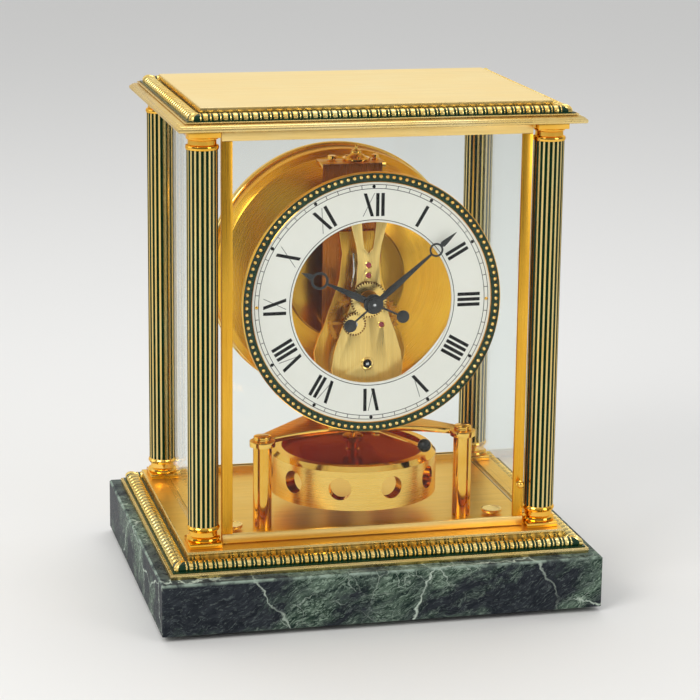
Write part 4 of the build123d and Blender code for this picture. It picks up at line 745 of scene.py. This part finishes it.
for hour, numeral in enumerate(NUMERALS, 1):
    where = facing(0, DIAL_FRONT, DIAL_Z, hour * 30)
    left = -(sum(ADVANCE[letter] for letter in numeral) - LETTER_GAP) / 2
    for letter in numeral:
        for foot_x, foot, head_x, width in STROKES[letter]:
            stroke((left + foot_x, foot), (left + head_x, HEAD), width, where)
        left += ADVANCE[letter]
for radius, width in ((44.9, 0.36), (TRACK_INNER, LINE), (TRACK_OUTER, LINE)):
    put(ink, tube(radius - width / 2, radius + width / 2, 0, FILM, 120), facing(0, DIAL_FRONT, DIAL_Z))
for minute in range(60):
    where = facing(0, DIAL_FRONT, DIAL_Z, minute * 6)
    if minute % 5:
        stroke((0, TRACK_INNER), (0, TRACK_OUTER), LINE, where)
    elif minute % 30 != 15:
        put(ink, slab(circle(0.92, 20, (0, (TRACK_INNER + TRACK_OUTER) / 2)), 1.2 * FILM), where)
piece("dial_printing", ink, "case", ("dial_ink",))

screws = bmesh.new()
for side in (-1, 1):
    put(screws, spun([(0, 0), (0.85, 0), (0.85, 0.2), (0.6, 0.38), (0, 0.42)], 20),
        facing(side * (TRACK_INNER + TRACK_OUTER) / 2, DIAL_FRONT, DIAL_Z))
piece("dial_screws", screws)

BEADS = 120
BEAD_RADIUS = 1.15
BEAD_AT = 68.0
bezel_low, bezel_high = span("dial_bezel")
inner_radius = (dial_high.x - dial_low.x) / 2
outer_radius = (bezel_high.x - bezel_low.x) / 2
bezel_depth = bezel_high.y - bezel_low.y
bezel_place = facing(0, bezel_high.y, DIAL_Z)
bezel = bmesh.new()
inner_lip = [(0, 0), (0, bezel_depth - 0.5), (0.15, bezel_depth - 0.3), (0.3, bezel_depth - 0.4),
             (0.35, bezel_depth - 1.0), (0.35, 0)]
outer_lip = [(-0.4, 0), (-0.4, bezel_depth - 0.8), (-0.35, bezel_depth - 0.1), (-0.15, bezel_depth),
             (0, bezel_depth - 0.3), (0, 0)]
for radius, lip in ((inner_radius, inner_lip), (outer_radius, outer_lip)):
    put(bezel, spun([(radius + out, height) for out, height in lip], 144, True), bezel_place)
put(bezel, tube(inner_radius + 0.25, outer_radius - 0.3, 0.2, bezel_depth - 0.7, 144), bezel_place, 1)
put(bezel, bead(BEAD_RADIUS, BEAD_RADIUS, BEAD_RADIUS, 12, 8),
    [bezel_place @ Matrix.Rotation(math.tau * k / BEADS, 4, "Z") @ at(BEAD_AT, 0, bezel_depth - 0.8)
     for k in range(BEADS)], 2)
piece("beaded_bezel", bezel, "case", ("gilt_brass", "green_enamel", "bead_gilt"),
      ("dial_bezel",))


# Hands: bevelled black blades with an open ring, a spear point and a round tail

HAND_THICK = 0.6
TAIL_RADIUS, TAIL_THICK = 3.45, 0.75


def hand(name, node, body, angle, length, blade, ring_at, ring_radius, ring_hole, tail_at, hub, hub_height):
    """A tapered blade, an open ring, a spear point, a round tail and a hub, turned clockwise by an angle."""
    shape = bmesh.new()
    where = facing(0, span(node)[1].y, DIAL_Z, angle)
    lower = ring_at - ring_radius + 0.35
    wide = lower * 0.3
    right = [(0.5, -tail_at), (0.55, 0), (blade * 0.85, wide * 0.45), (blade, wide),
             (blade * 0.9, wide * 1.5), (0.62, lower)]
    upper = ring_at + ring_radius - 0.35
    reach = length - upper
    point = [(0.8, upper), (1.6, upper + reach * 0.1), (1.35, upper + reach * 0.34), (0.12, length)]
    for half in (right, point):
        outline = half + [(-x, y) for x, y in reversed(half)]
        put(shape, eased(slab(outline, HAND_THICK), 0.16), where)
    put(shape, eased(tube(ring_hole, ring_radius, 0, HAND_THICK), 0.2), where @ at(0, ring_at, 0))
    put(shape, eased(tube(0, TAIL_RADIUS, 0, TAIL_THICK, 40), 0.2), where @ at(0, -tail_at, 0))
    boss = [(0, 0), (hub, 0), (hub, hub_height), (0.35, hub_height), (0.3, hub_height - 0.3),
            (0, hub_height - 0.3)]
    put(shape, eased(spun(boss), 0.2), where)
    piece(name, shape, body, ("black_hands",), (node,))


hand("black_hour_hand", "hour_hand", "hour_motion", angle=295.0, length=43.1, blade=2.0, ring_at=32.2,
     ring_radius=4.8, ring_hole=3.45, tail_at=18.0, hub=5.3, hub_height=1.6)
hand("black_minute_hand", "minute_hand", "minute_motion", angle=49.7, length=58.0, blade=1.85, ring_at=43.8,
     ring_radius=3.8, ring_hole=2.75, tail_at=16.9, hub=4.0, hub_height=1.3)


# Bridge jewels in their settings, and the winding square over a black disc painted as the shade of its well

bridge_front = span("front_bridge")[0].y
JEWELS = ((0, DIAL_Z + 18.6), (0, DIAL_Z + 13.0), (7.5, DIAL_Z - 14.1))
BARREL_Z = DIAL_Z - 35.4
jewels = bmesh.new()
setting = [(1.4, -0.3), (2.05, -0.3), (2.05, 0.1), (1.8, 0.32), (1.5, 0.22), (1.4, 0.05)]
stone = [(1.42, -0.2), (1.42, 0.05), (1.1, 0.3), (0.5, 0.38), (0.3, 0.3), (0.28, 0.05), (0, 0.05)]
settings = [facing(x, bridge_front, z) for x, z in JEWELS]
put(jewels, spun(setting, 32, True), settings)
put(jewels, spun(stone, 28), settings, 1)
piece("set_jewels", jewels, "case", ("wheel_gilt", "ruby"), ("bridge_jewels",))

well = bmesh.new()
well_place = facing(0, bridge_front, BARREL_Z)
put(well, spun([(2.3, 0), (3.5, 0), (3.5, 0.25), (3.2, 0.45), (2.5, 0.3), (2.3, 0.1)], 40, True), well_place)
# black disc at the bottom of the well: painted shade
put(well, tube(0, 2.35, 0.02, 0.1, 40), well_place, 1)
put(well, eased(block((-0.75, -0.75, 0), (0.75, 0.75, 0.35)), 0.12), well_place, 2)
piece("winding_square", well, "case", ("wheel_gilt", "dial_ink", "steel"))


# Motion work and barrel with fine teeth, on the same centres and pitch radii

hour_low, hour_high = span("hour_wheel")
MINUTE_X, MINUTE_Z = -7.6, DIAL_Z - 13.1
MOTION_BACK = -48.2
HOUR_TEETH, PINION_TEETH = 40, 25
SOLID_HOUR, SOLID_PINION = 32, 20  # teeth of the solids, which set the pitch radii
centres = math.hypot(MINUTE_X, MINUTE_Z - DIAL_Z)
hour_pitch = centres * SOLID_HOUR / (SOLID_HOUR + SOLID_PINION)
pinion_pitch = centres * SOLID_PINION / (SOLID_HOUR + SOLID_PINION)
mesh_way = math.degrees(math.atan2(MINUTE_Z - DIAL_Z, MINUTE_X))
hour_work = bmesh.new()
hour_place = facing(0, MOTION_BACK, DIAL_Z, 180 / HOUR_TEETH - mesh_way)
toothed_disc(hour_work, hour_place, HOUR_TEETH, hour_pitch, 1.6, 5.2)
put(hour_work, tube(0.9, 1.7, 0, hour_high.y - hour_low.y, 32), hour_place)
piece("fine_hour_wheel", hour_work, "hour_motion", ("wheel_gilt", "painted_shade_brown", "painted_shade_amber"),
      ("hour_wheel",))

minute_low, minute_high = span("minute_arbor")
minute_work = bmesh.new()
minute_place = facing(MINUTE_X, MOTION_BACK, MINUTE_Z, 180 - mesh_way)
toothed_disc(minute_work, minute_place, PINION_TEETH, pinion_pitch, 0.8, 1.6)
put(minute_work, tube(0, 0.85, 0, minute_high.y - minute_low.y, 24),
    facing(MINUTE_X, minute_high.y, MINUTE_Z), 2)
piece("fine_minute_pinion", minute_work, "minute_motion_wheel", ("wheel_gilt", "painted_shade_brown", "steel"),
      ("minute_arbor",))

barrel_low, barrel_high = span("spring_barrel")
barrel_tip = (barrel_high.x - barrel_low.x) / 2
BARREL_TEETH, BARREL_BORE, DRUM_RADIUS = 90, 2.3, 17.0
barrel = bmesh.new()
# the barrel's tooth flanks take the painted-shade finish
put(barrel, toothed_ring(BARREL_TEETH, barrel_tip, barrel_tip - 0.9, BARREL_BORE, WHEEL_THICK),
    facing(0, barrel_low.y + WHEEL_THICK, BARREL_Z), None)
put(barrel, eased(tube(BARREL_BORE, DRUM_RADIUS, 0, barrel_high.y - barrel_low.y - WHEEL_THICK, 64), 0.3),
    facing(0, barrel_high.y, BARREL_Z))
piece("fine_spring_barrel", barrel, "barrel", ("grained_gilt", "painted_shade_brown"), ("spring_barrel",))

CRESCENT_Y, POST_Y, POST_LONG = -42.2, -29.9, 12.6
crescent = bmesh.new()
horns = [(-7.8, 24.2), (-6.4, 24.4), (-5.1, 20.5), (-4.8, 16.5), (-5.4, 12.0), (-6.9, 6.6), (-8.4, 5.8),
         (-7.9, 9.5), (-7.3, 13.5), (-7.3, 19.0)]
put(crescent, eased(slab(horns, 0.7), 0.15), facing(0, CRESCENT_Y, DIAL_Z))
put(crescent, tube(0, 0.7, 0, POST_LONG, 20), facing(-6.3, POST_Y, DIAL_Z + 22.6))
piece("silver_crescent", crescent, "case", ("steel",))


# Pillar screws with slotted heads, and the black ball of the locking lever

heads = bmesh.new()
screw_low, screw_high = span("pillar_screws")
head_radius = (screw_high.y - screw_low.y) / 2
head_height = screw_high.z - screw_low.z
half_slot, slot_depth = 0.55, 1.2
pillar_x = (screw_high.x - screw_low.x) / 2 - head_radius
head_spots = [at(side * pillar_x, middle("pillar_screws").y, screw_low.z) for side in (-1, 1)]
lower = head_height - slot_depth
put(heads, eased(tube(0, head_radius, 0, lower), 0.2), head_spots)
chord = math.acos(half_slot / head_radius)
angles = [chord * k / 12 for k in range(-12, 13)]
arc = [(head_radius * math.cos(angle), head_radius * math.sin(angle)) for angle in angles]
for turn in (0, math.pi):
    half_head = at(0, 0, lower - 0.4) @ Matrix.Rotation(turn + math.radians(90), 4, "Z")
    put(heads, eased(slab(arc, slot_depth + 0.4), 0.3), [spot @ half_head for spot in head_spots])
piece("slotted_pillar_screws", heads, covers=("pillar_screws",))

ball = bmesh.new()
ball_low, ball_high = span("lever_ball")
ball_radius = (ball_high.z - ball_low.z) / 2
put(ball, bead(ball_radius, ball_radius, ball_radius, 40, 24), at(*middle("lever_ball")))
piece("round_lever_ball", ball, "locking_lever", ("black_knob",), ("lever_ball",))


# Bellows housing: spun shell with its shoulder, cone and polished boss, and the domed rim of its rear cover

housing_low, housing_high = span("bellows_housing")
cover_low, cover_high = span("housing_rear_cover")
shell_radius = (housing_high.x - housing_low.x) / 2
cover_radius = (cover_high.x - cover_low.x) / 2
back = housing_high.y
deep = housing_high.y - housing_low.y
FACE_RADIUS, FACE_Y, SHOULDER_Y, BORE = 67.4, 15.5, 19.0, 3.2
BOSS_RADIUS, BOSS_RISE, SHELL_WALL = 33.0, 2.4, 2.0
shell_place = facing(0, back, DIAL_Z)
housing = bmesh.new()
cone = deep - BOSS_RISE
inner_wall = back - SHOULDER_Y - 0.6
shell = [(shell_radius, 0), (shell_radius, back - SHOULDER_Y), (FACE_RADIUS, back - FACE_Y),
         (BOSS_RADIUS - 0.4, cone), (BORE, cone), (BORE, inner_wall), (shell_radius - SHELL_WALL, inner_wall),
         (shell_radius - SHELL_WALL, 0)]
put(housing, eased(spun(shell, 128, True), 0.5, 15.0, 3), shell_place)
# the boss in its darker finish: painted dark reflection
put(housing, eased(tube(BORE, BOSS_RADIUS, cone - 0.5, deep, 128), 0.45, 30.0, 3), shell_place, 1)
fall = (cone - (back - FACE_Y)) / (FACE_RADIUS - BOSS_RADIUS)
# dark ring just outside the boss: painted shadow of its step
shade = [(BOSS_RADIUS - 0.1, cone - 0.6), (BOSS_RADIUS - 0.1, cone + 0.1),
         (BOSS_RADIUS + 0.75, cone + 0.1 - 0.75 * fall), (BOSS_RADIUS + 0.75, cone - 0.9)]
put(housing, spun(shade, 128, True), shell_place, 2)
piece("spun_bellows_housing", housing, "case", ("housing_gilt", "painted_reflection_boss", "painted_shade_red"),
      ("bellows_housing",))

cover = bmesh.new()
cover_thick = cover_high.y - cover_low.y
inset = cover_thick - 0.35
dome = [(0, 0), (cover_radius - 2.4, 0), (cover_radius - 1.0, 0.4), (cover_radius - 0.25, 1.3),
        (cover_radius, 2.6), (cover_radius, cover_thick - 1.9), (cover_radius - 0.35, cover_thick - 0.9),
        (cover_radius - 1.1, inset), (shell_radius - 0.6, inset), (shell_radius - 0.6, cover_thick),
        (0, cover_thick)]
put(cover, spun(dome, 144), facing(0, cover_high.y, DIAL_Z))
piece("spun_rear_cover", cover, "case", ("cover_gilt",), ("housing_rear_cover",))


# Suspension: stepped collar, cone and spike over the wire, small screws, and the two side screws

head_low = span("suspension_head")[0]
tower = bmesh.new()
tower_place = at(0, PENDULUM_Y, head_low.z)
spike = [(0, 0), (7.3, 0), (7.6, 0.3), (7.6, 1.4), (7.3, 1.8), (6.2, 1.8), (5.6, 2.1), (3.4, 3.4), (2.9, 4.0),
         (2.7, 4.3), (2.7, 5.4), (2.4, 5.7), (1.4, 5.8), (0.9, 6.3), (0.8, 7.6), (0.45, 8.8), (0, 9.0)]
put(tower, spun(spike), tower_place)
small_head = [(0, 0), (1.0, 0), (1.0, 0.8), (0.8, 1.0), (0, 1.0)]
put(tower, spun(small_head, 20),
    [tower_place @ Matrix.Rotation(math.radians(turn), 4, "Z") @ at(5.4, 0, 1.8) for turn in (35, 145, 270)])
piece("turned_suspension_head", tower, covers=("suspension_head",))

clamp_low, clamp_high = span("suspension_screws")
side_screws = bmesh.new()
thread = 1.3
total = clamp_high.z - clamp_low.z
seat = head_low.z - clamp_low.z
wide_screw = [(0, 0), (thread, 0), (thread, seat), (2.6, seat), (2.6, seat + 0.5), (1.6, seat + 0.7),
              (1.6, seat + 1.2), (2.4, seat + 1.4), (2.4, total - 0.4), (2.1, total), (0, total)]
slim_screw = [(0, 0), (thread, 0), (thread, seat), (1.9, seat), (1.9, seat + 0.9), (1.2, seat + 1.1),
              (1.2, seat + 1.7), (1.9, seat + 1.9), (1.9, total - 0.3), (1.6, total), (0, total)]
for x, profile in ((clamp_low.x + thread, wide_screw), (clamp_high.x - thread, slim_screw)):
    put(side_screws, spun(profile, 32), at(x, PENDULUM_Y, clamp_low.z))
piece("turned_suspension_screws", side_screws, covers=("suspension_screws",))


# Torsion pendulum: turned ring with polished round ports, its sunk web, and the staff

ring_low, ring_high = span("pendulum_ring")
OUTER, INNER, RING_BEVEL, BEVEL_DEEP = 46.0, 39.5, 2.6, 2.2
WEB_DROP, WEB_THICK = 2.8, 1.6
PORTS, PORT_RADIUS, PORT_Z, PORT_PHASE = 10, 6.2, 66.0, 14.0
tall = ring_high.z - ring_low.z


def bored_ring():
    """The ring alone with its round ports, cut by a boolean modifier."""
    rough = bmesh.new()
    section = [(INNER, 0), (OUTER, 0), (OUTER, tall - RING_BEVEL), (OUTER - BEVEL_DEEP, tall), (INNER, tall)]
    put(rough, spun(section, 160, True))
    drills = bmesh.new()
    drill = bmesh.new()
    bmesh.ops.create_cone(drill, cap_ends=True, segments=48, radius1=PORT_RADIUS, radius2=PORT_RADIUS,
                          depth=16.0)
    put(drills, drill, [Matrix.Rotation(math.radians(PORT_PHASE - 90 + 360 * k / PORTS), 4, "Z")
                        @ at((INNER + OUTER) / 2, 0, PORT_Z - ring_low.z)
                        @ Matrix.Rotation(math.pi / 2, 4, "Y") for k in range(PORTS)])
    blanks = [shown(label, mesh_of(label, form))
              for label, form in (("ring_blank", rough), ("port_drills", drills))]
    cut = blanks[0].modifiers.new("ports", "BOOLEAN")
    cut.operation, cut.solver, cut.object = "DIFFERENCE", "EXACT", blanks[1]
    held = bpy.context.evaluated_depsgraph_get()
    bored = bpy.data.meshes.new_from_object(blanks[0].evaluated_get(held))
    form = bmesh.new()
    form.from_mesh(bored)
    for blank in blanks:
        bpy.data.objects.remove(blank)
    bpy.data.meshes.remove(bored)
    for face in form.faces:
        centre = face.calc_center_median()
        radius = centre.xy.length
        inside = INNER + 0.01 < radius < OUTER - 0.01 and 0.5 < centre.z < tall - RING_BEVEL
        lathe_edge = centre.z > tall - RING_BEVEL - 0.01 or radius < INNER + 0.01
        face.material_index = 1 if inside or lathe_edge else 0
    return form


ring = bmesh.new()
put(ring, bored_ring(), at(0, PENDULUM_Y, ring_low.z), None)
web_top = tall - WEB_DROP
# the sunk web, dark red-brown as painted shade
put(ring, tube(0, INNER, web_top - WEB_THICK, web_top, 96), at(0, PENDULUM_Y, ring_low.z), 2)
piece("bored_pendulum_ring", ring, "pendulum", ("ring_gilt", "gilt_brass", "painted_shade_red"),
      ("pendulum_ring",), 30.0)

staff_low, staff_high = span("pendulum_staff")
staff = bmesh.new()
staff_long = staff_high.z - staff_low.z
staff_profile = [(0, 0), (3.8, 0), (3.8, 0.6), (3.0, 1.0), (3.0, 5.2), (5.3, 5.4), (5.7, 5.8), (5.7, 8.2),
                 (5.3, 8.7), (1.5, 8.8), (1.5, 74.8), (1.5, staff_long - 0.4), (1.1, staff_long),
                 (0, staff_long)]
put(staff, spun(staff_profile), at(0, PENDULUM_Y, staff_low.z))
roller_z = DIAL_Z - 17.3
PIN_LONG, PIN_OFFSET = 3.0, 2.9
put(staff, eased(tube(1.4, 4.0, 0, 1.2, 40), 0.2), at(0, PENDULUM_Y, roller_z), 1)
put(staff, tube(0, 0.4, 0, PIN_LONG, 16), at(0, PENDULUM_Y - PIN_OFFSET, roller_z - PIN_LONG), 1)
piece("turned_pendulum_staff", staff, "pendulum", ("gilt_brass", "steel"), ("pendulum_staff",))


# Levelling screws: rubber pad, threaded spindle and turned finger disc

for side in ("left", "right"):
    node = f"levelling_screw_{side}"
    low, high = span(node)
    spot = at((low.x + high.x) / 2, (low.y + high.y) / 2, 0)
    disc_low = high.z - 1.7
    screw = bmesh.new()
    finger_disc = [(0, disc_low), (5.65, disc_low), (5.65, high.z), (4.7, high.z), (4.5, high.z - 0.25),
                   (0, high.z - 0.25)]
    put(screw, eased(tube(0, 9.0, 0, 1.5), 0.3), spot @ at(0, 0, low.z), 1)
    put(screw, tube(0, 2.5, low.z + 1.5, disc_low, 32), spot)
    put(screw, eased(spun(finger_disc, 56), 0.18), spot)
    piece("turned_levelling_disc_" + side, screw, "foot_" + side, ("disc_gilt", "black_feet"),
          (node,))


# Floor, lamps and camera

floor = bmesh.new()
bmesh.ops.create_grid(floor, x_segments=2, y_segments=2, size=8.0)
floor_plane = shown("floor", mesh_of("floor", floor))
tree, shader = new_finish("floor_paper")
shader.inputs["Base Color"].default_value = opaque((0.8, 0.8, 0.79))
tree.links.new(spread(tree, noise(tree, place(tree), 8.0), 0.75, 0.85), shader.inputs["Roughness"])
floor_plane.data.materials.append(finishes["floor_paper"])


def lamp(name, spot, target, size, power, tint):
    light = bpy.data.lights.new(name, "AREA")
    light.shape = "RECTANGLE"
    light.size, light.size_y = size
    light.energy = power
    light.color = tint
    held = shown(name, light)
    aim = (Vector(target) - Vector(spot)).to_track_quat("-Z", "Y")
    held.matrix_world = Matrix.Translation(spot) @ aim.to_matrix().to_4x4()


lamp("key_softbox", (-1.3, -1.0, 1.3), (0, 0, 0.14), (0.9, 0.9), 17.0, (1.0, 0.98, 0.95))
lamp("side_softbox", (-1.5, 0.2, 0.5), (0, 0, 0.16), (0.9, 0.7), 1.5, (1.0, 0.99, 0.97))
lamp("fill_softbox", (1.2, -1.5, 0.8), (0, 0, 0.14), (0.8, 1.1), 7.0, (1.0, 0.99, 0.97))
lamp("top_softbox", (0.1, 0.5, 1.7), (0, 0, 0.2), (1.2, 0.8), 7.0, (1.0, 1.0, 1.0))

world = bpy.data.worlds.new("studio")
bpy.context.scene.world = world
world.use_nodes = True
sky = world.node_tree
background = sky.nodes["Background"]
direction = add(sky, "TexCoord").outputs["Generated"]
height, depth = component(sky, direction, Z), component(sky, direction, Y)
front = blend(sky, spread(sky, height, 0.0, 1.0, 0.0, 0.9), (0.1, 0.1, 0.1), (0.9, 0.9, 0.9))
rear = blend(sky, spread(sky, height, 0.0, 1.0, 0.5, 1.0), (1.0, 1.0, 1.0), (0.6, 0.6, 0.6))
around = blend(sky, spread(sky, depth, 0.0, 1.0, -0.1, 0.3), front, rear)
sky.links.new(around, background.inputs["Color"])
background.inputs["Strength"].default_value = 0.86

camera_data = bpy.data.cameras.new("camera")
camera_data.lens = 127.48
camera_data.sensor_width = 36.0
camera = shown("camera", camera_data)
bpy.context.scene.camera = camera
yaw, pitch, roll = math.radians(13.585), math.radians(13.843), math.radians(0.659)
ahead = Vector((math.sin(yaw) * math.cos(pitch), math.cos(yaw) * math.cos(pitch), -math.sin(pitch)))
right = Vector((math.cos(yaw), -math.sin(yaw), 0))
up = right.cross(ahead)
rolled_right = math.cos(roll) * right + math.sin(roll) * up
rolled_up = -math.sin(roll) * right + math.cos(roll) * up
turn = Matrix((rolled_right, rolled_up, -ahead)).transposed()
camera.matrix_world = Matrix.Translation((-0.31218, -1.29938, 0.45723)) @ turn.to_4x4()
bpy.context.scene.view_settings.view_transform = "Standard"
